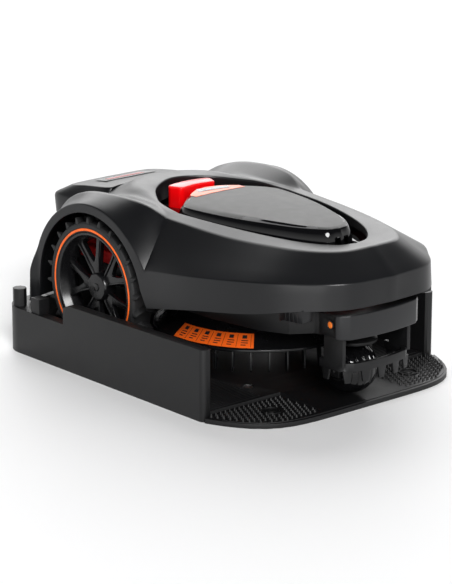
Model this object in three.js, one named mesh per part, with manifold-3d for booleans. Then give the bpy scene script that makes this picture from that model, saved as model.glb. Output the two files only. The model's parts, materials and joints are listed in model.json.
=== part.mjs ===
// Robotic lawn mower standing in its charging station.
// Millimetres. +X is the mower's driving direction, +Y its left side, +Z up.
// The origin is on the ground, midway between the drive wheels and straight below their axle.
import * as THREE from "three";
import { mergeVertices } from "three/addons/utils/BufferGeometryUtils.js";
import Module from "manifold-3d";

const wasm = await Module();
wasm.setup();

// ---------------------------------------------------------------- driving dimensions
const GAP = 0.4; // clearance between pieces that touch in real life
const PLATE_TOP = 12; // running surface of the station
const WHEEL_RADIUS = 107.6; // over the lugs
const AXLE_Z = 120;
const WHEEL_OUT = 184; // outer face of a drive wheel, from the centre line
const WHEEL_WIDTH = 40;
const STRIPE_RADIUS = 88;
const ARCH_RADIUS = 122; // wheel opening in the shell
const ARCH_Z = 112;
const RIM_RADIUS = 135; // outer edge of the flat rim round the opening
const SIDE_Y = 186; // side faces of the shell
const SHELL_WALL = 4;
const POD_TOP = 222; // floor of the recess that holds lid and stop button
const LID_EDGE_Z = 246;
const LID_CROWN = 8;
const LID_WALL = 3;
const HINGE_X = 333;
const HINGE_Z = 234;
const STOP_TOP = 254;
const DOCK_HALF = 227;
const DOCK_REAR = -170;
const RAIL_WALL = 17;
const RAIL_FRONT = 305;
const RAIL_STEP = -13; // where the high part of a rail begins
const RAIL_HIGH = 105;
const RAIL_LOW = 70;
const CONTACT_X = -131; // the charging contacts
const CONTACT_TOP = 74;
const PLATE_NOSE = 404;
const PLATE_EDGE = 7; // thickness of the plate at its rim
const DECK_X = 163; // centre of the cutting deck
const DECK_RADIUS = 154;
const DECK_FLANGE_Z = 72;
const FIN_COUNT = 36;
const FIN_BOTTOM = 40;
const DISC_RADIUS = 85;
const BLADE_Z = 70; // at the highest cut, 58 mm above the running surface
const BLADE_PIVOT = 72;
const CASTER_X = 369;
const CASTER_TRAIL = 5;
const CASTER_RADIUS = 37.5;
const BUMPER_X = 436;
const BUMPER_HALF = 78;
const BUMPER_TOP = 152;
const BUMPER_BOTTOM = 116;
const COMB_TOP = 78; // guard round the caster
const COMB_BAND = 12;
const COMB_TIP = 49;
const COMB_HALF = 66;
const TUB_RIM = 140;
const HOUSING_TOP = 182;
const COMB_X = 429;
const SPAN_STEPS = 3; // steps between neighbouring points of a shell line
const CORNER = 5; // the column where side face, wheel arch and upper side meet
const KNOB_X = 250;
const PANEL_TOP = POD_TOP + 3;
const TUB_FLOOR = 108;
const REAR_FLOOR = 84;
const REAR_FRONT = 24;
const PLUG_X = 399;
const PLUG_Z = 134;
const CASTER_Z = PLATE_TOP + 0.3 + CASTER_RADIUS;

// ---------------------------------------------------------------- colours
const PLASTIC_GREY = { color: 0x3a3b3d, roughness: 0.55, metalness: 0 };
const PLASTIC_BLACK = { color: 0x17181a, roughness: 0.45, metalness: 0 };
const GLOSS_BLACK = { color: 0x08080a, roughness: 0.1, metalness: 0 };
const LID_GREY = { color: 0x4a4b4d, roughness: 0.4, metalness: 0 };
const RED = { color: 0xd0121c, roughness: 0.2, metalness: 0 };
const DARK_RED = { color: 0x7a1518, roughness: 0.5, metalness: 0 };
const ORANGE = { color: 0xf07818, roughness: 0.5, metalness: 0 };
const RUBBER = { color: 0x303133, roughness: 0.8, metalness: 0 };
const STEEL = { color: 0xb8babd, roughness: 0.3, metalness: 1 };
const BRASS = { color: 0xc89a4a, roughness: 0.3, metalness: 1 };
const DARK_STEEL = { color: 0x4a4c50, roughness: 0.4, metalness: 1 };
const GREEN_BOARD = { color: 0x1d5a35, roughness: 0.5, metalness: 0 };
const BATTERY_BLUE = { color: 0x2c4a7a, roughness: 0.5, metalness: 0 };
const LAMP_GREEN = { color: 0x58d070, roughness: 0.2, metalness: 0 };

// ---------------------------------------------------------------- solids
function solid(geometry) {
  const plain = geometry.clone();
  plain.deleteAttribute("normal");
  plain.deleteAttribute("uv");
  const merged = mergeVertices(plain, 1e-4);
  const vertProperties = new Float32Array(merged.attributes.position.array);
  const triVerts = new Uint32Array(merged.index.array);
  const made = new wasm.Manifold(new wasm.Mesh({ numProp: 3, vertProperties, triVerts }));
  if (made.volume() > 0) return made;
  for (let i = 0; i < triVerts.length; i += 3) {
    const first = triVerts[i];
    triVerts[i] = triVerts[i + 1];
    triVerts[i + 1] = first;
  }
  return new wasm.Manifold(new wasm.Mesh({ numProp: 3, vertProperties, triVerts }));
}

function geometryOf(made) {
  const { vertProperties, triVerts, numProp } = made.getMesh();
  const geometry = new THREE.BufferGeometry();
  const positions = new Float32Array((vertProperties.length / numProp) * 3);
  for (let i = 0; i < positions.length / 3; i++) {
    for (let k = 0; k < 3; k++) positions[3 * i + k] = vertProperties[numProp * i + k];
  }
  geometry.setAttribute("position", new THREE.BufferAttribute(positions, 3));
  geometry.setIndex([...triVerts]);
  geometry.computeVertexNormals();
  return geometry;
}

function join(...pieces) {
  return pieces.reduce((sum, piece) => sum.add(piece));
}

function box(x0, x1, y0, y1, z0, z1) {
  const geometry = new THREE.BoxGeometry(x1 - x0, y1 - y0, z1 - z0);
  geometry.translate((x0 + x1) / 2, (y0 + y1) / 2, (z0 + z1) / 2);
  return solid(geometry);
}

function shapeOf(points) {
  return new THREE.Shape(points.map(([a, b]) => new THREE.Vector2(a, b)));
}

// a shape in the XY plane, from height z0 to z1
function upright(shape, z0, z1, curveSegments = 12) {
  const geometry = new THREE.ExtrudeGeometry(shape, { depth: z1 - z0, bevelEnabled: false, curveSegments });
  geometry.translate(0, 0, z0);
  return solid(geometry);
}

// a shape in the XZ plane, from y0 to y1
function sideways(shape, y0, y1, curveSegments = 12) {
  const geometry = new THREE.ExtrudeGeometry(shape, { depth: y1 - y0, bevelEnabled: false, curveSegments });
  geometry.rotateX(Math.PI / 2);
  geometry.translate(0, y1, 0);
  return solid(geometry);
}

// a profile of [radius, height] turned round the upright line through (x, y)
function turnedUpright(profile, x, y, sides = 32) {
  const geometry = new THREE.LatheGeometry(profile.map(([r, h]) => new THREE.Vector2(r, h)), sides);
  geometry.rotateX(Math.PI / 2);
  geometry.translate(x, y, 0);
  return solid(geometry);
}

// a profile of [radius, distance along Y] turned round the line through (x, z)
function turnedAcross(profile, x, z, sides = 32) {
  const geometry = new THREE.LatheGeometry(profile.map(([r, h]) => new THREE.Vector2(r, h)), sides);
  geometry.translate(x, 0, z);
  return solid(geometry);
}

function post(radius, z0, z1, x, y, sides = 24) {
  return turnedUpright([[0, z0], [radius, z0], [radius, z1], [0, z1]], x, y, sides);
}

function rod(radius, y0, y1, x, z, sides = 24) {
  return turnedAcross([[0, y0], [radius, y0], [radius, y1], [0, y1]], x, z, sides);
}

// the outline mirrored to a closed shape; half is a list of [x, y] from front to rear with y >= 0
function mirroredShape(half) {
  const distinct = half.filter(([x, y], i) => i === 0 || x !== half[i - 1][0] || y !== half[i - 1][1]);
  const inLine = (i) => i > 0 && i < distinct.length - 1
    && distinct[i - 1][0] === distinct[i][0] && distinct[i][0] === distinct[i + 1][0];
  const corners = distinct.filter((point, i) => !inLine(i));
  const left = corners.filter(([, y]) => y > 0).reverse();
  return shapeOf([...corners.map(([x, y]) => [x, -y]), ...left]);
}

// points along a smooth curve through the given ones, with equal steps between neighbours
function smooth(points, stepsPerSpan, sharpAt = []) {
  const count = points.length;
  const found = [];
  for (let span = 0; span < count - 1; span++) {
    const start = points[span];
    const end = points[span + 1];
    const isFirst = span === 0 || sharpAt.includes(span);
    const before = isFirst ? start.map((v, k) => 2 * v - end[k]) : points[span - 1];
    const isLast = span === count - 2 || sharpAt.includes(span + 1);
    const after = isLast ? end.map((v, k) => 2 * v - start[k]) : points[span + 2];
    for (let step = 0; step < stepsPerSpan; step++) {
      const t = step / stepsPerSpan;
      found.push(start.map((v, k) => {
        const a = 2 * v;
        const b = (end[k] - before[k]) * t;
        const c = (2 * before[k] - 5 * v + 4 * end[k] - after[k]) * t * t;
        const d = (3 * v - before[k] - 3 * end[k] + after[k]) * t * t * t;
        return (a + b + c + d) / 2;
      }));
    }
  }
  found.push(points[count - 1]);
  return found;
}

// A body that is the same left and right, from rings that lie one above the other. Each ring is a
// list of [x, y, z] from front to rear with y >= 0; the first and last point are on the centre line.
function symmetricLoft(rings) {
  const columns = rings[0].length;
  const positions = [];
  const index = [];
  const right = (ring, column) => (2 * ring) * columns + column;
  const left = (ring, column) => (2 * ring + 1) * columns + column;
  for (const ring of rings) {
    for (const [x, y, z] of ring) positions.push(x, -y, z);
    for (const [x, y, z] of ring) positions.push(x, y, z);
  }
  const face = (a, b, c) => index.push(a, b, c);
  for (let ring = 0; ring < rings.length - 1; ring++) {
    for (let column = 0; column < columns - 1; column++) {
      face(right(ring, column), right(ring, column + 1), right(ring + 1, column));
      face(right(ring + 1, column), right(ring, column + 1), right(ring + 1, column + 1));
      face(left(ring, column), left(ring + 1, column), left(ring, column + 1));
      face(left(ring + 1, column), left(ring + 1, column + 1), left(ring, column + 1));
    }
  }
  const top = rings.length - 1;
  for (let column = 0; column < columns - 1; column++) {
    face(right(0, column), left(0, column), right(0, column + 1));
    face(left(0, column), left(0, column + 1), right(0, column + 1));
    face(right(top, column), right(top, column + 1), left(top, column));
    face(left(top, column), right(top, column + 1), left(top, column + 1));
  }
  const geometry = new THREE.BufferGeometry();
  geometry.setAttribute("position", new THREE.BufferAttribute(new Float32Array(positions), 3));
  geometry.setIndex(index);
  const merged = mergeVertices(geometry, 1e-3);
  const kept = [];
  const ids = merged.index.array;
  for (let i = 0; i < ids.length; i += 3) {
    if (ids[i] !== ids[i + 1] && ids[i + 1] !== ids[i + 2] && ids[i] !== ids[i + 2]) {
      kept.push(ids[i], ids[i + 1], ids[i + 2]);
    }
  }
  merged.setIndex(kept);
  return solid(merged);
}

// a ring moved inward by a distance in plan and down by another
function inset(ring, inward, down) {
  return ring.map(([x, y, z], i) => {
    const before = ring[Math.max(i - 1, 0)];
    const after = ring[Math.min(i + 1, ring.length - 1)];
    const along = new THREE.Vector2(after[0] - before[0], after[1] - before[1]);
    if (i === 0) along.set(0, 1);
    if (i === ring.length - 1) along.set(0, -1);
    along.normalize();
    const moved = [x - inward * along.y, y + inward * along.x, z - down];
    if (i === 0 || i === ring.length - 1) moved[1] = 0;
    moved[1] = Math.max(moved[1], 0);
    return moved;
  });
}

// ---------------------------------------------------------------- scene graph
const mower = new THREE.Group();

function add(name, made, look) {
  const mesh = new THREE.Mesh(geometryOf(made), new THREE.MeshStandardMaterial(look));
  mesh.name = name;
  mower.add(mesh);
  return mesh;
}

// adds the same piece on the right (-Y) and, mirrored, on the left (+Y)
function addPair(name, made, look) {
  add(name + "_right", made, look);
  add(name + "_left", made.mirror([0, 1, 0]), look);
}

// ---------------------------------------------------------------- charging station
function plateOutline(inward) {
  const half = [];
  const steps = 14;
  const halfWidth = DOCK_HALF - 1 - inward;
  for (let i = 0; i <= steps; i++) {
    const y = halfWidth * Math.sin((i / steps) * (Math.PI / 2));
    const share = Math.pow(y / halfWidth, 6);
    half.push([RAIL_FRONT + 3 + (PLATE_NOSE - RAIL_FRONT - 3) * (1 - share) - inward, y]);
  }
  const behind = DOCK_HALF - RAIL_WALL - inward;
  half.push([RAIL_FRONT + 3 - inward, behind]);
  half.push([DOCK_REAR + 22, behind]);
  half.push([DOCK_REAR + 22, 0]);
  return mirroredShape(half);
}

function dockBase() {
  const plate = upright(plateOutline(0), 0, PLATE_EDGE);
  const reach = DOCK_HALF - RAIL_WALL - 1;
  const track = box(DOCK_REAR + 24, RAIL_FRONT - 5, -reach, reach, 3, PLATE_TOP);
  const tongueSide = shapeOf([
    [200, 2], [PLATE_NOSE - 12, 2], [PLATE_NOSE - 12, PLATE_EDGE], [RAIL_FRONT + 10, PLATE_TOP],
    [200, PLATE_TOP],
  ]);
  const tongue = sideways(tongueSide, -78, 78);
  const sunk = 4;
  let base = join(plate, track, tongue);
  for (const [x, y] of screwPlaces()) {
    base = base.subtract(post(4, -1, PLATE_TOP + 1, x, y, 12));
    base = base.subtract(post(9, PLATE_TOP - sunk, PLATE_TOP + 1, x, y, 16));
  }
  return base;
}

function screwPlaces() {
  return [[-120, -60], [-120, 60], [250, -95], [250, 95]];
}

function dockRail() {
  const inner = -(DOCK_HALF - RAIL_WALL) - GAP;
  const outer = -DOCK_HALF;
  const plan = new THREE.Shape();
  const corner = 45;
  const nose = 8;
  plan.moveTo(DOCK_REAR, outer + corner);
  plan.absarc(DOCK_REAR + corner, outer + corner, corner, Math.PI, 1.5 * Math.PI);
  plan.lineTo(RAIL_FRONT - nose, outer);
  plan.absarc(RAIL_FRONT - nose, outer + nose, nose, 1.5 * Math.PI, 2 * Math.PI);
  plan.lineTo(RAIL_FRONT, inner - 3);
  plan.lineTo(RAIL_FRONT - 3, inner);
  plan.lineTo(DOCK_REAR + 60, inner);
  plan.lineTo(DOCK_REAR + 60, inner + 22);
  plan.lineTo(DOCK_REAR + 20, inner + 22);
  plan.lineTo(DOCK_REAR + 20, inner + 60);
  plan.lineTo(DOCK_REAR, inner + 60);
  const low = upright(plan, 0, RAIL_LOW);
  const slope = shapeOf([
    [RAIL_STEP, RAIL_LOW - 1], [RAIL_FRONT + 1, RAIL_LOW - 1], [RAIL_FRONT + 1, RAIL_HIGH],
    [RAIL_STEP + 12, RAIL_HIGH - 4], [RAIL_STEP, RAIL_HIGH - 10],
  ]);
  const keep = sideways(slope, outer - 1, inner + 1);
  const high = upright(plan, RAIL_LOW - 1, RAIL_HIGH).intersect(keep);
  const cut = box(DOCK_REAR + 21, RAIL_FRONT + 1, inner - 0.01, inner + 80, -1, PLATE_TOP + GAP);
  const stub = post(10.5, RAIL_LOW - 1, RAIL_LOW + 27, DOCK_REAR + 32, outer + 14, 8);
  const block = box(RAIL_STEP - 82, RAIL_STEP - 62, outer + 3, outer + 21, RAIL_LOW - 1, RAIL_LOW + 23);
  return join(low, high, stub, block).subtract(cut);
}

function dockBridge() {
  const reach = DOCK_HALF - RAIL_WALL - 60 - GAP;
  const wall = box(DOCK_REAR, DOCK_REAR + 20 - GAP, -reach, reach, 0, RAIL_LOW);
  const socket = rod(5, -3, 30, 0, 0, 16).rotate([0, 0, -90]).translate([DOCK_REAR - 4, -95, 30]);
  return wall.subtract(socket);
}

function contactPlaces() {
  return [-35, 35];
}

function contactHousing() {
  const body = box(DOCK_REAR + 20, CONTACT_X + 13, -60, 60, PLATE_TOP + GAP, CONTACT_TOP);
  const holes = contactPlaces().map((y) => post(3.6, CONTACT_TOP - 26, CONTACT_TOP + 1, CONTACT_X, y, 16));
  return body.subtract(join(...holes));
}

// a sprung pin that stands up from the housing and meets the strip under the mower's tail
function contactPin(y) {
  const tip = REAR_FLOOR - 1.4;
  const low = CONTACT_TOP - 22;
  return turnedUpright([[0, low], [3.2, low], [3.2, tip - 2], [2, tip], [0, tip]], CONTACT_X, y, 16);
}

function powerSocket() {
  const ring = turnedAcross([[2.2, 0], [4.6, 0], [4.6, 9], [2.2, 9], [2.2, 0]], 0, 0, 16);
  return ring.rotate([0, 0, -90]).translate([DOCK_REAR + 0.5, -95, 30]);
}

function buildStation() {
  add("dock_base", dockBase(), PLASTIC_BLACK);
  addPair("dock_rail", dockRail(), PLASTIC_GREY);
  add("dock_bridge", dockBridge(), PLASTIC_GREY);
  add("dock_contact_housing", contactHousing(), PLASTIC_BLACK);
  add("dock_contact_pin_right", contactPin(contactPlaces()[0]), BRASS);
  add("dock_contact_pin_left", contactPin(contactPlaces()[1]), BRASS);
  add("dock_power_socket", powerSocket(), GLOSS_BLACK);
  add("dock_status_light", post(4, RAIL_LOW + GAP, RAIL_LOW + 2.4, DOCK_REAR + 10, 0, 16), LAMP_GREEN);
}

// ---------------------------------------------------------------- shell

// circle of the wheel arch rim at an angle in degrees from the front
function archRim(degrees) {
  const angle = THREE.MathUtils.degToRad(degrees);
  return [RIM_RADIUS * Math.cos(angle), SIDE_Y, ARCH_Z + RIM_RADIUS * Math.sin(angle)];
}

const LOWER_EDGE = [
  [447, 0, 165], [438, 78, 165], [386, 132, 161], [325, 166, 152], [230, 183, 138], [124, SIDE_Y, 118],
  [88, SIDE_Y, 108], [0, SIDE_Y, 92], [-80, SIDE_Y, 80], [-120, SIDE_Y, 73], [-143, SIDE_Y, 73],
  [-147, 100, 78], [-148, 0, 80],
];
const CREASE = [
  [449, 0, 202], [437, 77, 202], [391, 125, 200], [336, 162, 198], [236, 185, 188], [127, SIDE_Y, 174],
  archRim(52), archRim(88), archRim(128), archRim(160), [-143, SIDE_Y, 112], [-154, 104, 132],
  [-156, 0, 140],
];
const BAND_OUTER = [
  [406, 0, 237], [399, 50, 236], [364, 84, 235], [308, 106, 235], [230, 124, 236], [112, 133, 241],
  [72, 143, 256], [10, 148, 259], [-56, 146, 247], [-108, 142, 222], [-146, 138, 176],
  [-160, 108, 176], [-160, 0, 178],
];
const BAND_INNER = [
  [369, 0, 233], [361, 30, 234], [326, 60, 236], [268, 83, 239], [195, 99, 242], [112, 107, 244],
  [66, 110, 249], [4, 108, 252], [-52, 104, 244], [-96, 100, 228], [-136, 96, 210],
  [-156, 90, 206], [-158, 0, 206],
];
const DECK_LINE = [
  [340, 0, 232], [330, 20, 234], [300, 36, 237], [250, 50, 240], [180, 60, 243], [100, 66, 246],
  [50, 70, 251], [0, 72, 252], [-46, 70, 249], [-80, 66, 242], [-112, 60, 232],
  [-140, 50, 224], [-150, 0, 224],
];

// the part behind the stop button that reaches out over the back, between the wheel arches
const TAIL_RINGS = [
  [[-90, 0, 180], [-90, 66, 180], [-90, 95, 180], [-150, 98, 181], [-197, 95, 183],
    [-210, 74, 184], [-213, 0, 184]],
  [[-90, 0, 210], [-90, 66, 210], [-90, 96, 210], [-150, 99, 211], [-198, 97, 212],
    [-212, 76, 213], [-215, 0, 213]],
  [[-88, 0, 242], [-88, 56, 241], [-88, 78, 240], [-140, 80, 234], [-174, 78, 226],
    [-184, 60, 226], [-186, 0, 226]],
];
const DOME_RINGS = [
  [[20, 0, 220], [20, 50, 220], [0, 78, 220], [-50, 84, 220], [-100, 60, 220], [-112, 0, 220]],
  [[8, 0, 252], [6, 44, 251], [-10, 68, 249], [-50, 72, 245], [-86, 50, 240], [-98, 0, 240]],
  [[-8, 0, 255.5], [-10, 26, 255], [-20, 40, 254], [-48, 42, 252], [-68, 28, 249], [-74, 0, 249]],
];
// opening in the shell round lid and stop button, from nose to rear
const OPENING_HALF = [
  [369, 0], [361, 30], [326, 60], [268, 83], [195, 99], [112, 107], [62, 98], [22, 76],
  [-8, 52], [-24, 26], [-28, 0],
];

function shellRings(wall) {
  const drawn = [LOWER_EDGE, CREASE, BAND_OUTER, BAND_INNER, DECK_LINE];
  return drawn.map((ring, level) => {
    const curve = smooth(ring, SPAN_STEPS, [CORNER]);
    if (wall === 0) return curve;
    return level === 0 ? inset(curve, wall, 60) : inset(curve, wall, level === 1 ? 1 : wall);
  });
}

function shellSkin() {
  const tail = symmetricLoft(TAIL_RINGS.map((ring) => smooth(ring, 2)));
  const dome = symmetricLoft(DOME_RINGS.map((ring) => smooth(ring, 2)));
  return join(symmetricLoft(shellRings(0)), tail, dome);
}

function openingShape(inward) {
  const line = smooth(OPENING_HALF.map(([x, y]) => [x, y, 0]), 2);
  return mirroredShape(inset(line, inward, 0).map(([x, y]) => [x, y]));
}

function wheelOpening() {
  const shape = new THREE.Shape();
  shape.moveTo(-ARCH_RADIUS - 8, -40);
  shape.lineTo(ARCH_RADIUS + 2, -40);
  shape.lineTo(ARCH_RADIUS, ARCH_Z);
  shape.absarc(0, ARCH_Z, ARCH_RADIUS, 0, Math.PI);
  return sideways(shape, -SIDE_Y - 20, -126, 20);
}

function topShell() {
  const tailHollow = symmetricLoft([
    [[-80, 0, 170], [-80, 78, 170], [-150, 86, 170], [-196, 84, 170], [-208, 0, 170]],
    [[-80, 0, 206], [-80, 80, 206], [-150, 86, 206], [-196, 84, 206], [-209, 0, 206]],
    [[-80, 0, 234], [-80, 72, 232], [-140, 72, 226], [-168, 66, 219], [-174, 0, 219]],
  ]);
  const hollow = join(symmetricLoft(shellRings(SHELL_WALL)), tailHollow);
  const arch = wheelOpening();
  const bracket = box(346, 398, -126.4, -106, 143, 176);
  const allowed = shellSkin().add(box(300, 400, -140, 140, 130, 165));
  const brackets = join(bracket, bracket.mirror([0, 1, 0])).intersect(allowed);
  const shell = shellSkin().subtract(hollow).subtract(arch).subtract(arch.mirror([0, 1, 0])).add(brackets);
  const contactNotch = box(-175, -130, -58, 58, 60, 96);
  const recessWall = upright(openingShape(-3), POD_TOP + 3, 300).intersect(shellSkin());
  return shell.add(recessWall).subtract(upright(openingShape(0), 150, 300)).subtract(contactNotch);
}

function rearBadge(skin) {
  const outline = shapeOf([[-160, -48], [-160, 48], [-124, 54], [-124, -54]]);
  const prism = upright(outline, 200, 260);
  return skin.translate([0, 0, 1.2]).intersect(prism).subtract(skin.translate([0, 0, GAP]));
}

function buildShell() {
  add("top_shell", topShell(), PLASTIC_GREY);
  add("rear_badge", rearBadge(shellSkin()), PLASTIC_BLACK);
}

// ---------------------------------------------------------------- lid, stop button and control panel
const LID_HALF = [
  [345, 0], [338, 24], [306, 48], [262, 66], [204, 84], [150, 94], [108, 97], [88, 90],
  [58, 56], [40, 26], [34, 0],
];

function lidRing(inward, z, crown) {
  const curve = smooth(LID_HALF.map(([x, y]) => [x, y, 0]), 2, [7]);
  return inset(curve, inward, 0).map(([x, y]) => {
    const across = 1 - Math.pow(y / 98, 2);
    const along = 1 - Math.pow((x - 130) / 215, 2);
    return [x, y, z + crown * Math.max(across * along, 0)];
  });
}

function lidSkin() {
  return symmetricLoft([
    lidRing(0, POD_TOP + 3, 0),
    lidRing(2, LID_EDGE_Z - 3, 0),
    lidRing(7, LID_EDGE_Z, LID_CROWN * 0.3),
    lidRing(30, LID_EDGE_Z, LID_CROWN),
  ]);
}

function lid() {
  const hollow = symmetricLoft([
    lidRing(LID_WALL, POD_TOP - 3, 0),
    lidRing(LID_WALL + 2, LID_EDGE_Z - LID_WALL - 3, 0),
    lidRing(30, LID_EDGE_Z - LID_WALL, 0),
  ]);
  const ear = box(HINGE_X - 9, HINGE_X + 5, -20, -13, HINGE_Z - 5, LID_EDGE_Z - 2);
  const ears = join(ear, ear.mirror([0, 1, 0])).intersect(lidSkin());
  const slot = box(HINGE_X + 4.5, HINGE_X + 20, 3, 13, POD_TOP - 5, HINGE_Z + 3);
  const nose = lidSkin().subtract(hollow).subtract(slot).subtract(slot.mirror([0, 1, 0]));
  return nose.add(ears).subtract(rod(2.6, -30, 30, HINGE_X, HINGE_Z));
}

function lidLabel() {
  const outline = mirroredShape([[78, 0], [78, 40], [58, 46], [44, 30], [38, 15], [36, 0]]);
  const skin = lidSkin();
  const prism = upright(outline, 240, 270);
  return skin.translate([0, 0, 1.2]).intersect(prism).subtract(skin.translate([0, 0, GAP]));
}

function stopOutline(grow) {
  const shape = new THREE.Shape();
  const centreX = 122;
  const front = 97 - grow;
  const rear = 125 + grow;
  const spread = (38 + grow) / 110;
  shape.absarc(centreX, 0, front, Math.PI - spread, Math.PI + spread);
  shape.absarc(centreX, 0, rear, Math.PI + spread, Math.PI - spread, true);
  return shape;
}

function stopButton() {
  const body = upright(stopOutline(0), POD_TOP - 6, STOP_TOP);
  const hollow = upright(stopOutline(-4), POD_TOP - 7, STOP_TOP - 5);
  return body.subtract(hollow);
}

function podOutline() {
  return openingShape(10);
}

function controlPod() {
  const body = upright(podOutline(), HOUSING_TOP + GAP, POD_TOP);
  const hollow = upright(openingShape(14), HOUSING_TOP - 2, POD_TOP - 14);
  const well = upright(stopOutline(1), POD_TOP - 13, POD_TOP + 1);
  const ear = box(HINGE_X - 4, HINGE_X, -11.5, -4, POD_TOP - 9.5, HINGE_Z);
  const noseWell = box(HINGE_X - 9, HINGE_X + 17, -34, 34, POD_TOP - 9, POD_TOP + 1);
  const earTop = rod(4, -11.5, -4, HINGE_X, HINGE_Z, 16);
  const ears = join(ear, earTop, ear.mirror([0, 1, 0]), earTop.mirror([0, 1, 0]));
  const knobHole = post(7, POD_TOP - 20, POD_TOP + 1, KNOB_X, 0, 20);
  const cut = body.subtract(hollow).subtract(well).subtract(noseWell).subtract(knobHole);
  return cut.add(ears).subtract(rod(2.4, -15, 15, HINGE_X, HINGE_Z));
}


function keyPlaces() {
  return [[120, -42], [120, -14], [120, 14], [120, 42]];
}

function keypadPanel() {
  const outline = mirroredShape([[205, 0], [205, 58], [196, 64], [100, 64], [92, 56], [92, 0]]);
  let panel = upright(outline, POD_TOP + GAP, PANEL_TOP);
  for (const [x, y] of keyPlaces()) panel = panel.subtract(post(9.4, POD_TOP - 1, PANEL_TOP + 1, x, y, 20));
  return panel;
}

function key([x, y]) {
  const low = POD_TOP + 1.8;
  const top = PANEL_TOP + 2.5;
  return turnedUpright([[0, low], [9, low], [9, top - 1], [8, top], [0, top]], x, y, 20);
}

function heightKnob() {
  const low = POD_TOP + GAP;
  const stem = post(6.4, POD_TOP - 12, low + 1, KNOB_X, 0, 20);
  const cap = turnedUpright([[0, low], [24, low], [24, low + 7], [22, low + 9], [0, low + 9]], KNOB_X, 0, 32);
  const grip = box(KNOB_X - 20, KNOB_X + 20, -4, 4, low + 8, low + 15);
  return join(stem, cap, grip);
}

function buildControls() {
  add("control_pod", controlPod(), GLOSS_BLACK);
  add("keypad_panel", keypadPanel(), PLASTIC_GREY);
  add("display_window", box(150, 190, -26, 26, PANEL_TOP + GAP, PANEL_TOP + 2), GLOSS_BLACK);
  const names = ["key_power", "key_start", "key_home", "key_ok"];
  keyPlaces().forEach((place, i) => add(names[i], key(place), i === 0 ? RED : RUBBER));
  add("height_knob", heightKnob(), ORANGE);
  add("stop_button", stopButton(), RED);
  add("lid", lid(), LID_GREY);
  add("lid_label", lidLabel(), ORANGE);
  add("lid_hinge_pin", rod(2, -22, 22, HINGE_X, HINGE_Z, 12), STEEL);
}

// ---------------------------------------------------------------- chassis

// the chassis outline moved inward by d, cut off ahead of frontLimit
function tubOutline(d, frontLimit) {
  const half = [
    [404 - d, 0], [404 - d, 34 - 0.4 * d], [394 - 0.7 * d, 44 - 0.7 * d], [352 - 0.5 * d, 60 - 0.85 * d],
    [332 - 0.6 * d, 90 - 0.8 * d], [292 - 0.6 * d, 110 - 0.8 * d], [205 - 0.2 * d, 124 - d],
    [124, 126 - d],
    [-132 + 0.9 * d, 126 - d], [-140 + d, 118 - 0.9 * d], [-140 + d, 0],
  ];
  return mirroredShape(half.map(([x, y]) => [Math.min(x, frontLimit), y]));
}

function chassisTub() {
  const outside = upright(tubOutline(0, 500), TUB_FLOOR, TUB_RIM);
  const rearOut = box(-139, REAR_FRONT, -122, 122, REAR_FLOOR, TUB_FLOOR + 5);
  const inside = upright(tubOutline(4, 340), TUB_FLOOR + 4, TUB_RIM + 1);
  const rearIn = box(-135, REAR_FRONT - 4, -118, 118, REAR_FLOOR + 4, TUB_FLOOR + 6);
  const axleSlot = rod(9, -140, 140, 0, AXLE_Z, 20);
  const stemBore = post(8.6, TUB_FLOOR - 1, TUB_RIM + 1, CASTER_X, 0, 24);
  const motorHole = post(27, TUB_FLOOR - 1, TUB_FLOOR + 6, DECK_X, 0, 32);
  const hollow = join(inside, rearIn, axleSlot, stemBore, motorHole);
  return join(outside, rearOut).subtract(hollow);
}

function upperHousing() {
  const low = TUB_RIM + GAP;
  const lower = upright(tubOutline(1, 350), low, low + 18);
  const upper = upright(tubOutline(14, 345), low + 17, HOUSING_TOP);
  const lowerHollow = upright(tubOutline(5, 346), low - 1, low + 15);
  const upperHollow = upright(tubOutline(18, 341), low + 10, HOUSING_TOP - 4);
  const hollow = join(lowerHollow, upperHollow);
  const stem = post(9, HOUSING_TOP - 6, HOUSING_TOP + 1, KNOB_X, 0, 20);
  return join(lower, upper).subtract(hollow).subtract(stem);
}

function deckSkirt() {
  const rim = DECK_RADIUS;
  const outer = [
    [100, TUB_FLOOR - GAP], [112, TUB_FLOOR - 3], [rim - 4, DECK_FLANGE_Z + 3], [rim, DECK_FLANGE_Z + 2],
    [rim, DECK_FLANGE_Z - 2],
  ];
  const inner = [
    [rim - 9, DECK_FLANGE_Z - 2], [108, TUB_FLOOR - 7], [98, TUB_FLOOR - 4], [92, TUB_FLOOR - 4],
    [92, TUB_FLOOR - GAP],
  ];
  const cone = turnedUpright([...outer, ...inner, outer[0]], DECK_X, 0, 40);
  const fins = [];
  for (let i = 0; i < FIN_COUNT; i++) {
    const fin = shapeOf([
      [rim - 9, DECK_FLANGE_Z - 1], [rim - 1, DECK_FLANGE_Z - 1], [rim - 1, FIN_BOTTOM],
      [rim - 6, FIN_BOTTOM],
    ]);
    const turn = (i + 0.5) * (360 / FIN_COUNT);
    fins.push(sideways(fin, -1.2, 1.2).rotate([0, 0, turn]).translate([DECK_X, 0, 0]));
  }
  return join(cone, ...fins);
}

function skirtLabel() {
  const lift = 0.5;
  const low = DECK_FLANGE_Z + 3 + lift;
  const high = TUB_FLOOR - 3 + lift;
  const rim = DECK_RADIUS - 4 + lift;
  const profile = [
    [112 + lift, high], [rim, low], [rim + 1, low + 1], [113 + lift, high + 1], [112 + lift, high],
  ];
  const sector = new THREE.Shape();
  const start = THREE.MathUtils.degToRad(-95.3);
  const end = THREE.MathUtils.degToRad(-43.6);
  sector.absarc(0, 0, 128, end, start, true);
  sector.absarc(0, 0, 147, start, end);
  return turnedUpright(profile, DECK_X, 0, 48).intersect(upright(sector, 60, 120).translate([DECK_X, 0, 0]));
}

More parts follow.
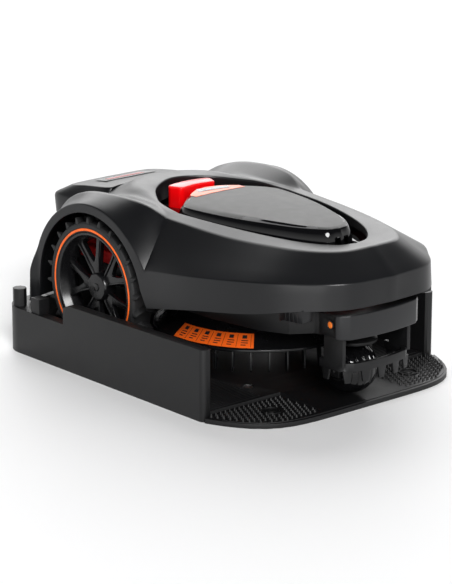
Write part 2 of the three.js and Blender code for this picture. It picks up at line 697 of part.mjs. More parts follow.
function bumperOutline(x1, halfWidth, depth, corner) {
  const half = [];
  const bow = 10;
  const steps = 5;
  for (let i = 0; i <= steps; i++) {
    const y = ((halfWidth - corner) * i) / steps;
    half.push([x1 - bow * Math.pow(y / halfWidth, 2), y]);
  }
  const endX = x1 - bow;
  for (let i = 1; i <= 4; i++) {
    const angle = (i / 4) * (Math.PI / 2);
    half.push([endX - corner + corner * Math.cos(angle), halfWidth - corner + corner * Math.sin(angle)]);
  }
  half.push([x1 - depth, halfWidth]);
  half.push([x1 - depth, 0]);
  return mirroredShape(half);
}

function bumperBar() {
  const outside = upright(bumperOutline(BUMPER_X, BUMPER_HALF, 24, 14), BUMPER_BOTTOM, BUMPER_TOP);
  const cavity = bumperOutline(BUMPER_X - 5, BUMPER_HALF - 5, 60, 10);
  const inside = upright(cavity, BUMPER_BOTTOM - 1, BUMPER_TOP - 4);
  return outside.subtract(inside);
}

function bumperCore() {
  const outline = bumperOutline(BUMPER_X - 5 - GAP, BUMPER_HALF - 5 - GAP, 56, 10);
  const block = upright(outline, BUMPER_BOTTOM, BUMPER_TOP - 4 - GAP);
  const nose = upright(tubOutline(-GAP, 500), BUMPER_BOTTOM - 1, BUMPER_TOP);
  return block.subtract(nose).subtract(plugHole()).subtract(plugHole().mirror([0, 1, 0]));
}


function plugHole() {
  return rod(5.2, -84, -62, PLUG_X, PLUG_Z, 20);
}

// a tapered tooth that hangs from (x, y), turned by an angle in degrees
function combTooth(x, y, turn) {
  const top = COMB_TOP - COMB_BAND + 1;
  const taper = shapeOf([[-8, top], [8, top], [4.5, COMB_TIP], [-4.5, COMB_TIP]]);
  return sideways(taper, -1.6, 1.6).rotate([0, 0, turn]).translate([x, y, 0]);
}

// keeps feet and branches away from the caster
function combGuard() {
  const low = COMB_TOP - COMB_BAND;
  const ring = upright(bumperOutline(COMB_X, COMB_HALF, 60, 16), low, COMB_TOP);
  const hole = upright(bumperOutline(COMB_X - 6, COMB_HALF - 6, 80, 12), low - 1, COMB_TOP + 1);
  const teeth = [];
  for (const y of [-56, -29, 0, 29, 56]) {
    const x = COMB_X - 10 * Math.pow(y / COMB_HALF, 2) - 3;
    teeth.push(combTooth(Math.abs(y) > 50 ? x - 3 : x, y, 90 + y * 0.3));
  }
  for (const side of [-1, 1]) teeth.push(combTooth(380, side * (COMB_HALF - 3), 0));
  const leg = box(378, 416, -COMB_HALF, -COMB_HALF + 6, COMB_TOP - 4, BUMPER_BOTTOM - GAP);
  return join(ring.subtract(hole), leg, leg.mirror([0, 1, 0]), ...teeth);
}

function bumperPlug() {
  return rod(4.8, -BUMPER_HALF + 3.5, -63, PLUG_X, PLUG_Z, 20);
}

function driveMotor() {
  const can = rod(17, -112, -52, 0, AXLE_Z, 20);
  const gearbox = join(rod(19, -117, -98, 0, AXLE_Z, 24), box(-30, 16, -117, -98, AXLE_Z - 16, AXLE_Z + 28));
  return join(can, gearbox).subtract(rod(5.4, -120, -90, 0, AXLE_Z, 20));
}

function chargeStrip(y) {
  return box(CONTACT_X - 7, CONTACT_X + 7, y - 10, y + 10, REAR_FLOOR - 1, REAR_FLOOR - GAP);
}

function battery() {
  return box(-118, -32, -44, 44, REAR_FLOOR + 5, REAR_FLOOR + 62);
}

function batteryCover() {
  const plate = box(-120, -28, -52, 52, REAR_FLOOR - 3, REAR_FLOOR - GAP);
  const places = [[-113, -44], [-113, 44], [-36, -44], [-36, 44]];
  const screwHoles = places.map(([x, y]) => post(2, REAR_FLOOR - 4, REAR_FLOOR - 1.5, x, y, 10));
  return plate.subtract(join(...screwHoles));
}

function buildChassis() {
  add("chassis_tub", chassisTub(), PLASTIC_BLACK);
  add("upper_housing", upperHousing(), DARK_RED);
  add("deck_skirt", deckSkirt(), PLASTIC_BLACK);
  add("skirt_label", skirtLabel(), ORANGE);
  add("bumper_bar", bumperBar(), PLASTIC_GREY);
  add("bumper_core", bumperCore(), PLASTIC_BLACK);
  add("comb_guard", combGuard(), PLASTIC_GREY);
  addPair("bumper_plug", bumperPlug(), ORANGE);
  addPair("drive_motor", driveMotor(), DARK_STEEL);
  add("charge_strip_right", chargeStrip(contactPlaces()[0]), BRASS);
  add("charge_strip_left", chargeStrip(contactPlaces()[1]), BRASS);
  add("battery_pack", battery(), BATTERY_BLUE);
  add("battery_cover", batteryCover(), PLASTIC_BLACK);
  add("circuit_board", box(20, 120, -60, 60, 150, 152), GREEN_BOARD);
}

// carries the shell and lets it slide forward and back over the chassis
function floatFrame() {
  const low = HOUSING_TOP + 1;
  const shape = upright(mirroredShape([[300, 0], [300, 88], [200, 112], [-84, 112], [-84, 0]]), low, low + 3);
  const holeHalf = [[392, 0], [360, 62], [296, 82], [200, 104], [60, 104], [-40, 82], [-52, 0]];
  const hole = upright(mirroredShape(holeHalf), low - 1, low + 4);
  const places = [[-62, -94], [-62, 94], [240, -98], [240, 98]];
  const posts = places.map(([x, y]) => post(6, low + 1, 222, x, y, 16));
  return join(shape.subtract(hole), ...posts);
}

// ---------------------------------------------------------------- drive wheels
// the closed rectangle that turns into a flat band round an axis
function bandProfile(lowRadius, highRadius, start, end) {
  return [[lowRadius, start], [highRadius, start], [highRadius, end], [lowRadius, end], [lowRadius, start]];
}

function tyre() {
  const outer = -WHEEL_OUT;
  const inner = outer + WHEEL_WIDTH;
  const shape = new THREE.Shape();
  const lugs = 24;
  const root = 98;
  const points = [];
  for (let i = 0; i < lugs; i++) {
    for (const [share, radius] of [[0.02, root], [0.3, WHEEL_RADIUS], [0.5, WHEEL_RADIUS], [0.62, root]]) {
      const angle = ((i + share) / lugs) * 2 * Math.PI;
      points.push(new THREE.Vector2(radius * Math.cos(angle), radius * Math.sin(angle)));
    }
  }
  shape.setFromPoints(points);
  const hole = new THREE.Path();
  hole.absarc(0, 0, STRIPE_RADIUS - 4, 0, 2 * Math.PI);
  shape.holes.push(hole);
  const grooveProfile = bandProfile(STRIPE_RADIUS - 2, STRIPE_RADIUS + 2, outer - 1, outer + 2);
  const groove = turnedAcross(grooveProfile, 0, AXLE_Z, 36);
  return sideways(shape, outer, inner, 20).translate([0, 0, AXLE_Z]).subtract(groove);
}

function stripe() {
  const outer = -WHEEL_OUT;
  const profile = bandProfile(STRIPE_RADIUS - 1.6, STRIPE_RADIUS + 1.6, outer + 0.2, outer + 1.7);
  return turnedAcross(profile, 0, AXLE_Z, 36);
}

function wheelRim() {
  const outer = -WHEEL_OUT;
  const inner = outer + WHEEL_WIDTH;
  const seat = STRIPE_RADIUS - 4 - GAP;
  const ring = turnedAcross(bandProfile(seat - 5, seat, outer + 1, inner - 2), 0, AXLE_Z, 32);
  const hub = rod(17, outer + 8, inner - 2, 0, AXLE_Z, 24);
  const noseProfile = [[0, outer + 2], [11, outer + 2], [14, outer + 4], [14, outer + 9], [0, outer + 9]];
  const nose = turnedAcross(noseProfile, 0, AXLE_Z, 6);
  const spokes = [];
  for (let i = 0; i < 5; i++) {
    const spoke = shapeOf([
      [-9, 12], [9, 12], [22, seat - 3], [8, seat - 1], [0, 38], [-8, seat - 1], [-22, seat - 3],
    ]);
    const plate = sideways(spoke, outer + 10, outer + 20);
    spokes.push(plate.rotate([0, i * 72 + 53, 0]).translate([0, 0, AXLE_Z]));
  }
  return join(ring, hub, nose, ...spokes).subtract(rod(5.4, outer + 12, inner, 0, AXLE_Z, 20));
}

function axle() {
  return rod(5, -WHEEL_OUT + 12.4, -92, 0, AXLE_Z, 16);
}

function buildWheels() {
  addPair("tyre", tyre(), RUBBER);
  addPair("tyre_stripe", stripe(), ORANGE);
  addPair("wheel_rim", wheelRim(), GLOSS_BLACK);
  addPair("axle", axle(), STEEL);
}

// ---------------------------------------------------------------- front caster

function casterWheel() {
  const half = 26;
  const profile = [[3.2, -half], [27, -half]];
  for (let i = 0; i <= 4; i++) {
    const y = -half + 1 + (i / 4) * (2 * half - 2);
    profile.push([CASTER_RADIUS - 8 * Math.pow(y / half, 2), y]);
  }
  profile.push([27, half], [3.2, half], [3.2, -half]);
  return turnedAcross(profile, CASTER_X - CASTER_TRAIL, CASTER_Z, 24);
}

function casterFork() {
  const x = CASTER_X - CASTER_TRAIL;
  const crown = turnedUpright([[0, 91], [34, 91], [34, 95], [26, 101], [0, 103]], CASTER_X, 0, 32);
  const arm = box(x - 9, x + 9, -33, -27.5, CASTER_Z - 9, 94);
  const arms = join(arm, arm.mirror([0, 1, 0]));
  const stem = post(8, 100, 136, CASTER_X, 0, 22);
  return join(crown, arms, stem).subtract(rod(3.2, -40, 40, x, CASTER_Z, 16));
}

function buildCaster() {
  add("caster_fork", casterFork(), PLASTIC_BLACK);
  add("caster_wheel", casterWheel(), GLOSS_BLACK);
  add("caster_axle", rod(2.8, -33, 33, CASTER_X - CASTER_TRAIL, CASTER_Z, 16), STEEL);
}

// ---------------------------------------------------------------- cutting gear
function bladeMotor() {
  const low = BLADE_Z + 12;
  const profile = [[0, low + 20], [20, low + 20], [24, low + 24], [24, low + 62], [0, low + 62]];
  const can = turnedUpright(profile, DECK_X, 0, 28);
  const shaft = post(5, BLADE_Z + 7.4, low + 21, DECK_X, 0, 16);
  return join(can, shaft);
}

function bladeDisc() {
  const low = BLADE_Z + 2;
  const profile = [[0, low], [DISC_RADIUS, low], [DISC_RADIUS, low + 3], [30, low + 5], [0, low + 5]];
  const body = turnedUpright(profile, DECK_X, 0, 40);
  const slots = [];
  for (let i = 0; i < 3; i++) {
    const slot = upright(shapeOf([[30, -14], [52, -22], [52, 22], [30, 14]]), low - 1, low + 8);
    slots.push(slot.rotate([0, 0, i * 120 + 60]).translate([DECK_X, 0, 0]));
  }
  const holes = bladePivots().map(([x, y]) => post(2.4, low - 1, low + 8, x, y, 12));
  return body.subtract(join(...slots, ...holes));
}

function bladePivots() {
  return [90, 210, 330].map((degrees) => {
    const angle = THREE.MathUtils.degToRad(degrees);
    return [DECK_X + BLADE_PIVOT * Math.cos(angle), BLADE_PIVOT * Math.sin(angle), degrees];
  });
}

function blade([x, y, degrees]) {
  const shape = shapeOf([[-8, -8], [30, -8], [34, -4], [34, 8], [-8, 8]]);
  const plate = upright(shape, BLADE_Z, BLADE_Z + 1).subtract(post(2.8, BLADE_Z - 1, BLADE_Z + 2, 0, 0, 12));
  return plate.rotate([0, 0, degrees]).translate([x, y, 0]);
}

function bladeScrew([x, y]) {
  const top = BLADE_Z + 6;
  const profile = [
    [0, BLADE_Z - 3], [5, BLADE_Z - 3], [5, BLADE_Z - GAP], [2, BLADE_Z - GAP], [2, top], [0, top],
  ];
  return turnedUpright(profile, x, y, 12);
}

function buildCutter() {
  add("blade_motor", bladeMotor(), DARK_STEEL);
  add("blade_disc", bladeDisc(), ORANGE);
  bladePivots().forEach((place, i) => add("blade_" + (i + 1), blade(place), STEEL));
  bladePivots().forEach((place, i) => add("blade_screw_" + (i + 1), bladeScrew(place), STEEL));
}

buildStation();
buildChassis();
add("float_frame", floatFrame(), PLASTIC_BLACK);
buildShell();
buildControls();
buildWheels();
buildCaster();
buildCutter();

export default mower;
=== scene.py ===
import json
import math

import bmesh
import bpy
import numpy as np
from mathutils import Matrix, Vector

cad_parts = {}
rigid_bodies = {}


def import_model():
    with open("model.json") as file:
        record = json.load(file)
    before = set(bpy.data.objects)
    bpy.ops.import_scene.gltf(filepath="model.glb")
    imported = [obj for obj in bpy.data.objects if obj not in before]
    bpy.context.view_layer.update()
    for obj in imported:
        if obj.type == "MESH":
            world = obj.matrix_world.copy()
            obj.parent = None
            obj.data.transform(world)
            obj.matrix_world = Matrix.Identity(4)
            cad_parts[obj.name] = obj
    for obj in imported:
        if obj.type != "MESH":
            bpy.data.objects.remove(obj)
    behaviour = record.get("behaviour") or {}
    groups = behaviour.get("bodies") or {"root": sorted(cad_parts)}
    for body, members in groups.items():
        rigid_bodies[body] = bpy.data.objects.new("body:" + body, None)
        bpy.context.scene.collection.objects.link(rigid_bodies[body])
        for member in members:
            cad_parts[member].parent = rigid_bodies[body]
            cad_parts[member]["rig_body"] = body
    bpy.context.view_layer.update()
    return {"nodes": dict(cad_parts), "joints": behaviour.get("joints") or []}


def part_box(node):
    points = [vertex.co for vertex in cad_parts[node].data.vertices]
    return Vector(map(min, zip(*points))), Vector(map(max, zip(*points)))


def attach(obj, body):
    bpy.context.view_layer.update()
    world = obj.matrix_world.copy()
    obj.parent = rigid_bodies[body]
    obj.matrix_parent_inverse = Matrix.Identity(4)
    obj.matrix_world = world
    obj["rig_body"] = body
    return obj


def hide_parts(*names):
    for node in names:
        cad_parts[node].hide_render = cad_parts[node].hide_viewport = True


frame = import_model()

MM = 0.001
NODES = frame["nodes"]


# ---- places read from the frame
def low(node, axis):
    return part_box(node)[0]["xyz".index(axis)] / MM


def high(node, axis):
    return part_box(node)[1]["xyz".index(axis)] / MM


def middle(node, axis):
    return (low(node, axis) + high(node, axis)) / 2


def joint_place(name):
    found = next(joint for joint in frame["joints"] if joint["name"] == name)
    return [value / MM for value in found["pos_m"]]


AXLE_X, _, AXLE_Z = joint_place("wheel_right_spin")
DECK_X = joint_place("blade_disc_spin")[0]
CASTER_X, _, CASTER_Z = joint_place("caster_roll")
HINGE_X, _, HINGE_Z = joint_place("lid_hinge")
POD_TOP = low("keypad_panel", "z") - 0.4
PLATE_TOP = high("dock_base", "z")
DOCK_HALF = high("dock_rail_left", "y")


# ---- materials
def material(name, colour, roughness, metallic=0.0, coat=0.0, specular=0.5):
    made = bpy.data.materials.new(name)
    made.use_nodes = True
    shader = made.node_tree.nodes["Principled BSDF"]
    shader.inputs["Base Color"].default_value = (*colour, 1)
    shader.inputs["Roughness"].default_value = roughness
    shader.inputs["Metallic"].default_value = metallic
    shader.inputs["Coat Weight"].default_value = coat
    shader.inputs["Coat Roughness"].default_value = 0.06
    shader.inputs["Specular IOR Level"].default_value = specular
    return made, made.node_tree, shader


def node(tree, kind, **inputs):
    made = tree.nodes.new(kind)
    for name, value in inputs.items():
        made.inputs[name].default_value = value
    return made


def noise(tree, scale, detail, stretch=None):
    place = node(tree, "ShaderNodeTexCoord")
    source = place.outputs["Object"]
    if stretch:
        mapping = node(tree, "ShaderNodeMapping")
        mapping.inputs["Scale"].default_value = stretch
        tree.links.new(source, mapping.inputs["Vector"])
        source = mapping.outputs["Vector"]
    texture = node(tree, "ShaderNodeTexNoise", Scale=scale, Detail=detail)
    tree.links.new(source, texture.inputs["Vector"])
    return texture.outputs["Fac"]


def ramp(tree, source, dark, light, start=0.3, end=0.7):
    made = node(tree, "ShaderNodeValToRGB")
    made.color_ramp.elements[0].position = start
    made.color_ramp.elements[0].color = (*dark, 1)
    made.color_ramp.elements[1].position = end
    made.color_ramp.elements[1].color = (*light, 1)
    tree.links.new(source, made.inputs["Fac"])
    return made.outputs["Color"]


def colour_drift(tree, shader, source, colour, darkest, lightest=1.0, start=0.3, end=0.7):
    """Lets the base colour follow source between a darker and a lighter tone of itself."""
    dark = [value * darkest for value in colour]
    light = [value * lightest for value in colour]
    tree.links.new(ramp(tree, source, dark, light, start, end), shader.inputs["Base Color"])


def sheen_drift(tree, shader, source, roughness, smoothest, roughest):
    """Lets the roughness follow source between two shares of itself."""
    made = node(tree, "ShaderNodeMapRange")
    made.inputs["To Min"].default_value = roughness * smoothest
    made.inputs["To Max"].default_value = roughness * roughest
    tree.links.new(source, made.inputs["Value"])
    tree.links.new(made.outputs["Result"], shader.inputs["Roughness"])


def bump(tree, shader, source, depth, strength):
    made = node(tree, "ShaderNodeBump", Strength=strength, Distance=depth)
    tree.links.new(source, made.inputs["Height"])
    tree.links.new(made.outputs["Normal"], shader.inputs["Normal"])


def moulded(name, colour, roughness, grain=0.00006, grain_scale=1400):
    """Injection-moulded plastic: spark-eroded grain, slight colour drift and uneven sheen."""
    made, tree, shader = material(name, colour, roughness, specular=0.36)
    colour_drift(tree, shader, noise(tree, 7, 3), colour, 0.92, 1.08)
    sheen_drift(tree, shader, noise(tree, 60, 4), roughness, 0.9, 1.1)
    bump(tree, shader, noise(tree, grain_scale, 2), grain, 0.4)
    return made


def polished(name, colour, roughness):
    """Glossy plastic with the faint waviness of a moulded surface."""
    made, tree, shader = material(name, colour, roughness, specular=0.4)
    sheen_drift(tree, shader, noise(tree, 35, 5), roughness, 0.7, 1.8)
    colour_drift(tree, shader, noise(tree, 9, 2), colour, 0.94)
    bump(tree, shader, noise(tree, 22, 1), 0.0001, 0.12)
    return made


def rubber(name, colour, roughness=0.62):
    """Rubber with a little dust on it."""
    made, tree, shader = material(name, colour, roughness, specular=0.35)
    dust = noise(tree, 90, 6)
    colour_drift(tree, shader, dust, colour, 0.85, 1.25, 0.35, 0.75)
    sheen_drift(tree, shader, dust, roughness, 0.85, 1.15)
    bump(tree, shader, noise(tree, 900, 3), 0.00012, 0.5)
    return made


def metal(name, colour, roughness):
    """Bare metal with fine brushed lines."""
    made, tree, shader = material(name, colour, roughness, metallic=1.0)
    brushing = noise(tree, 260, 3, stretch=(1, 1, 25))
    sheen_drift(tree, shader, brushing, roughness, 0.7, 1.4)
    colour_drift(tree, shader, brushing, colour, 0.85)
    bump(tree, shader, brushing, 0.00002, 0.3)
    return made


def film(name, colour, roughness=0.3):
    """Printed plastic film, as labels are made of."""
    made, tree, shader = material(name, colour, roughness, coat=0.2)
    drift = noise(tree, 40, 3)
    colour_drift(tree, shader, drift, colour, 0.9)
    sheen_drift(tree, shader, drift, roughness, 0.8, 1.2)
    return made


SHELL = moulded("shell_plastic", (0.0055, 0.0057, 0.0065), 0.33)
STATION = moulded("station_plastic", (0.0042, 0.0043, 0.0047), 0.46, grain=0.00009, grain_scale=1100)
# black station plastic, darkened further as painted shade for the plate and chassis that lie under the
# mower
STATION_BLACK_AND_SHADE = moulded("station_black", (0.0028, 0.0028, 0.0032), 0.46, grain=0.00009, grain_scale=1100)
BUMPER = moulded("bumper_plastic", (0.0115, 0.0118, 0.0128), 0.36)
LID_TOP = moulded("lid_top_plastic", (0.03, 0.03, 0.0285), 0.46, grain=0.000008)
GLOSS = polished("gloss_black", (0.003, 0.003, 0.0035), 0.05)
WHEEL_GLOSS = polished("wheel_gloss", (0.004, 0.004, 0.0045), 0.2)
RED = polished("red_gloss", (0.95, 0.002, 0.004), 0.12)
DARK_RED = moulded("dark_red", (0.42, 0.008, 0.008), 0.4)
ORANGE = moulded("orange_plastic", (0.83, 0.19, 0.02), 0.4, grain=0.00003)
ORANGE_FILM = film("orange_film", (0.93, 0.13, 0.008), 0.4)
RED_FILM = film("red_film", (0.5, 0.02, 0.03))
DARK_FILM = film("dark_film", (0.02, 0.02, 0.022), 0.25)
PALE_FILM = film("pale_film", (0.55, 0.55, 0.56), 0.4)
ORANGE_RUBBER = rubber("orange_rubber", (0.92, 0.14, 0.012), 0.4)
TYRE = rubber("tyre_rubber", (0.014, 0.0142, 0.0148))
KEY_RUBBER = rubber("key_rubber", (0.03, 0.03, 0.032), 0.5)
MOTOR = metal("motor_metal", (0.2, 0.2, 0.21), 0.42)
STEEL = metal("steel", (0.6, 0.6, 0.61), 0.28)
BRASS = metal("brass", (0.75, 0.55, 0.25), 0.28)
BATTERY = film("battery_wrap", (0.03, 0.06, 0.17), 0.28)
BOARD = film("board_green", (0.015, 0.12, 0.04), 0.35)
LAMP = polished("lamp_green", (0.08, 0.5, 0.14), 0.15)


# ---- mesh helpers
def object_from(name, mesh, looks):
    made = bpy.data.objects.new(name, mesh)
    bpy.context.scene.collection.objects.link(made)
    mesh.materials.clear()
    for look in looks if isinstance(looks, list) else [looks]:
        mesh.materials.append(look)
    return made


def shade(mesh, degrees):
    mesh.shade_smooth()
    mesh.set_sharp_from_angle(angle=math.radians(degrees))


def mesh_from(name, points, faces):
    mesh = bpy.data.meshes.new(name)
    mesh.from_pydata([tuple(value * MM for value in point) for point in points], [], faces)
    mesh.update()
    return mesh


def cleaned(mesh, merge=0.01):
    """Welds doubled points, drops collapsed faces and turns every face outward."""
    bm = bmesh.new()
    bm.from_mesh(mesh)
    bmesh.ops.remove_doubles(bm, verts=bm.verts, dist=merge * MM)
    bmesh.ops.dissolve_degenerate(bm, edges=bm.edges, dist=1e-7)
    bmesh.ops.recalc_face_normals(bm, faces=bm.faces)
    bm.to_mesh(mesh)
    bm.free()
    return mesh


def built(name, points, faces, look, degrees):
    mesh = cleaned(mesh_from(name, points, faces))
    shade(mesh, degrees)
    return object_from(name, mesh, look)


def placed(piece, body, slot, *nodes):
    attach(piece, body)
    if nodes:
        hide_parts(*nodes)


def apply_modifiers(piece):
    graph = bpy.context.evaluated_depsgraph_get()
    done = bpy.data.meshes.new_from_object(piece.evaluated_get(graph))
    old = piece.data
    piece.modifiers.clear()
    piece.data = done
    bpy.data.meshes.remove(old)


def bevelled(bm, width, segments, degrees=28):
    limit = math.radians(degrees)
    sharp = [edge for edge in bm.edges if edge.is_manifold and edge.calc_face_angle() > limit]
    bmesh.ops.bevel(bm, geom=sharp, offset=width * MM, segments=segments, profile=0.5,
                    affect="EDGES", clamp_overlap=True)


def softened(node_name, look, slot, width, segments=2):
    """The CAD node's own shape with its flat facets merged and its edges rounded."""
    mesh = NODES[node_name].data.copy()
    bm = bmesh.new()
    bm.from_mesh(mesh)
    bmesh.ops.remove_doubles(bm, verts=bm.verts, dist=1e-6)
    bmesh.ops.dissolve_limit(bm, angle_limit=math.radians(0.6), verts=bm.verts, edges=bm.edges)
    bevelled(bm, width, segments)
    bmesh.ops.triangulate(bm, faces=[face for face in bm.faces if len(face.verts) > 4])
    bm.to_mesh(mesh)
    bm.free()
    shade(mesh, 32)
    piece = object_from(node_name + "_fine", mesh, look)
    placed(piece, NODES[node_name]["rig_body"], slot, node_name)


def carried(node_name, look):
    """A CAD node that keeps its own mesh and gets a finished material."""
    mesh = NODES[node_name].data
    mesh.materials.clear()
    mesh.materials.append(look)


def ring_faces(rings, count, closed=False):
    """Faces between neighbouring rings of points, each ring a loop of count points."""
    faces = []
    for ring in range(rings if closed else rings - 1):
        base = ring * count
        after = (ring + 1) % rings * count
        for i in range(count):
            j = (i + 1) % count
            faces.append((base + i, base + j, after + j, after + i))
    return faces


def turned(profile, axis, place, sides):
    """Points and faces of a closed profile of (radius, distance) turned round an axis through place."""
    points = []
    for step in range(sides):
        angle = 2 * math.pi * step / sides
        for radius, along in profile:
            u = radius * math.cos(angle)
            v = radius * math.sin(angle)
            around = {"z": (u, v, along), "y": (v, along, u)}[axis]
            points.append([place[k] + around[k] for k in range(3)])
    return points, ring_faces(sides, len(profile), closed=True)


def arc_points(start, corner, end, places):
    """A smooth turn from start to end, drawn toward the corner between them."""
    return [start * (1 - t) ** 2 + corner * 2 * t * (1 - t) + end * t ** 2 for t in places]


def corner_arc(before, here, after, radius, share, steps):
    """A short arc in place of a corner, taking up to a share of the lines on both sides."""
    here = Vector(here)
    back = Vector(before) - here
    ahead = Vector(after) - here
    reach = min(radius, back.length * share, ahead.length * share)
    start = here + back.normalized() * reach
    end = here + ahead.normalized() * reach
    places = [step / steps for step in range(steps + 1)]
    return [tuple(point) for point in arc_points(start, here, end, places)]


def rounded_outline(corners, radius, steps=5, share=0.48, kept=lambda corner: False):
    """A closed outline with each corner replaced by a short arc, except those that are to be kept."""
    rounded = []
    for i, here in enumerate(corners):
        if kept(here):
            rounded.append(here)
        else:
            after = corners[(i + 1) % len(corners)]
            rounded += corner_arc(corners[i - 1], here, after, radius, share, steps)
    return rounded


def turned_piece(name, corners, axis, place, look, radius, sides):
    """A turned solid whose profile of (radius, distance) is rounded off, except on the axis."""
    profile = rounded_outline(corners, radius, 3, 0.45, kept=lambda corner: corner[0] < 0.01)
    return built(name, *turned(profile, axis, place, sides), look, 40)


def prism(name, outline, depth, look, turn, bevel, segments=2, degrees=28):
    """A flat outline of (x, y) with a thickness, its edges rounded; turn is a matrix in millimetres."""
    bm = bmesh.new()
    bm.faces.new([bm.verts.new((x * MM, y * MM, 0)) for x, y in outline])
    raised = bmesh.ops.extrude_face_region(bm, geom=list(bm.faces))["geom"]
    lifted = [item for item in raised if isinstance(item, bmesh.types.BMVert)]
    bmesh.ops.translate(bm, verts=lifted, vec=(0, 0, depth * MM))
    bmesh.ops.recalc_face_normals(bm, faces=bm.faces)
    if bevel:
        bevelled(bm, bevel, segments, degrees)
    place = turn.copy()
    place.translation = place.translation * MM
    bmesh.ops.transform(bm, matrix=place, verts=bm.verts)
    mesh = bpy.data.meshes.new(name)
    bm.to_mesh(mesh)
    bm.free()
    shade(mesh, 32)
    return object_from(name, mesh, look)


def joined(name, pieces):
    """Several pieces of one material and body made into one object."""
    bm = bmesh.new()
    for piece in pieces:
        part = piece.data.copy()
        part.transform(piece.matrix_world)
        bm.from_mesh(part)
    mesh = bpy.data.meshes.new(name)
    bm.to_mesh(mesh)
    bm.free()
    look = pieces[0].data.materials[0]
    for piece in pieces:
        bpy.data.objects.remove(piece)
    shade(mesh, 35)
    return object_from(name, mesh, look)


def cut_away(piece, cutter):
    cut = piece.modifiers.new("cut", "BOOLEAN")
    cut.operation = "DIFFERENCE"
    cut.solver = "EXACT"
    cut.object = cutter
    apply_modifiers(piece)
    bpy.data.objects.remove(cutter)


# ---- curves
def curve_through(points, steps, sharp_at=()):
    """Catmull-Rom curve through the points, with equal steps between neighbours."""
    points = [np.array(point, float) for point in points]
    found = []
    last = len(points) - 1
    for span in range(last):
        start = points[span]
        end = points[span + 1]
        before = 2 * start - end if span == 0 or span in sharp_at else points[span - 1]
        after = 2 * end - start if span == last - 1 or span + 1 in sharp_at else points[span + 2]
        slope = end - before
        bend = 2 * before - 5 * start + 4 * end - after
        twist = 3 * start - before - 3 * end + after
        for step in range(steps):
            t = step / steps
            found.append((2 * start + slope * t + bend * t ** 2 + twist * t ** 3) / 2)
    found.append(points[last])
    return found


CORNER_STEPS = 4
SPAN_STEPS = 3


def straight_points(start, end):
    """Points from start up to, but not including, end."""
    return [start + (end - start) * t for t in np.linspace(0, 1, SPAN_STEPS, endpoint=False)]


def rounded_line(keys, radii):
    """A line through key points, straight between them, with each inner key rounded off."""
    line = []
    previous = keys[0]
    for i in range(1, len(keys) - 1):
        back = keys[i - 1] - keys[i]
        ahead = keys[i + 1] - keys[i]
        back_length = np.linalg.norm(back)
        ahead_length = np.linalg.norm(ahead)
        reach = min(radii[i], back_length * 0.48, ahead_length * 0.48)
        start = keys[i] + back / max(back_length, 1e-9) * reach
        end = keys[i] + ahead / max(ahead_length, 1e-9) * reach
        line += straight_points(previous, start)
        line += arc_points(start, keys[i], end, np.linspace(0, 1, CORNER_STEPS, endpoint=False))
        previous = end
    return [*line, *straight_points(previous, keys[-1]), keys[-1]]


def grid_faces(rows, columns):
    """Faces of a grid whose points are listed row by row."""
    faces = []
    for row in range(rows - 1):
        for column in range(columns - 1):
            corner = row * columns + column
            faces.append((corner, corner + 1, corner + columns + 1, corner + columns))
    return faces


def mirrored_grid(columns, name):
    """Mesh of a right-hand grid of columns and its mirror image, welded on the centre plane."""
    points = []
    faces = []
    for side in (-1, 1):
        base = len(points)
        for column in columns:
            points += [(x, side * abs(y), z) for x, y, z in column]
        for corners in grid_faces(len(columns), len(columns[0])):
            face = [base + corner for corner in corners]
            faces.append(face if side > 0 else face[::-1])
    return cleaned(mesh_from(name, points, faces), 0.02)


# ---- shaping helpers
def across(start):
    """Stands a prism's outline in the XZ plane, its depth running from y = start towards -Y."""
    return Matrix(((1, 0, 0, 0), (0, 0, -1, start), (0, 1, 0, 0), (0, 0, 0, 1)))


def raised_to(height):
    return Matrix.Translation((0, 0, height))


def rectangle(left, right, bottom, top):
    return [(left, bottom), (right, bottom), (right, top), (left, top)]


def twin(piece, name):
    """The same piece mirrored to the mower's other side."""
    mesh = piece.data.copy()
    mesh.transform(Matrix.Diagonal((1, -1, 1, 1)))
    mesh.flip_normals()
    return object_from(name, mesh, list(piece.data.materials))


def thickened(piece, wall):
    """Gives an open skin a wall that grows inward."""
    skin = piece.modifiers.new("wall", "SOLIDIFY")
    skin.thickness = wall * MM
    skin.offset = -1
    skin.use_even_offset = False
    apply_modifiers(piece)


def facing_up(mesh):
    """Turns an open skin over when most of it faces down."""
    lean = sum(face.normal.z * face.area for face in mesh.polygons)
    if lean < 0:
        mesh.flip_normals()
    return mesh


def film_from(name, points, rows, columns, wall, look):
    """A thin film over a grid of points, with a wall that grows inward."""
    mesh = mesh_from(name, points, grid_faces(rows, columns))
    piece = object_from(name, facing_up(cleaned(mesh)), look)
    thickened(piece, wall)
    shade(piece.data, 40)
    return piece


def surface_patch(name, corners, height, lift, look, steps=(14, 14)):
    """A thin film over four corners of (x, y), laid on the surface that height(x, y) gives."""
    a, b, c, d = [np.array(corner, float) for corner in corners]
    points = []
    for u in np.arange(steps[0] + 1) / steps[0]:
        for v in np.arange(steps[1] + 1) / steps[1]:
            x, y = (a * (1 - u) + b * u) * (1 - v) + (d * (1 - u) + c * u) * v
            points.append((x, y, height(x, y) + lift))
    return film_from(name, points, steps[0] + 1, steps[1] + 1, 0.3, look)


# ---- cover
COVER_STEPS = 10
CORNER = 5  # the point of each line where side face, wheel arch and upper side meet
ARCH_END = 9  # the last point where the crease follows the wheel arch
ARCH_Z = 112
ARCH_RADIUS = 122
RIM_RADIUS = 135
CORNER_RADIUS = 141
COVER_WALL = 3
RECESS_FLOOR = POD_TOP + 3
SIDE = 186


def arch_rim(degrees):
    angle = math.radians(degrees)
    return (RIM_RADIUS * math.cos(angle), SIDE, ARCH_Z + RIM_RADIUS * math.sin(angle))


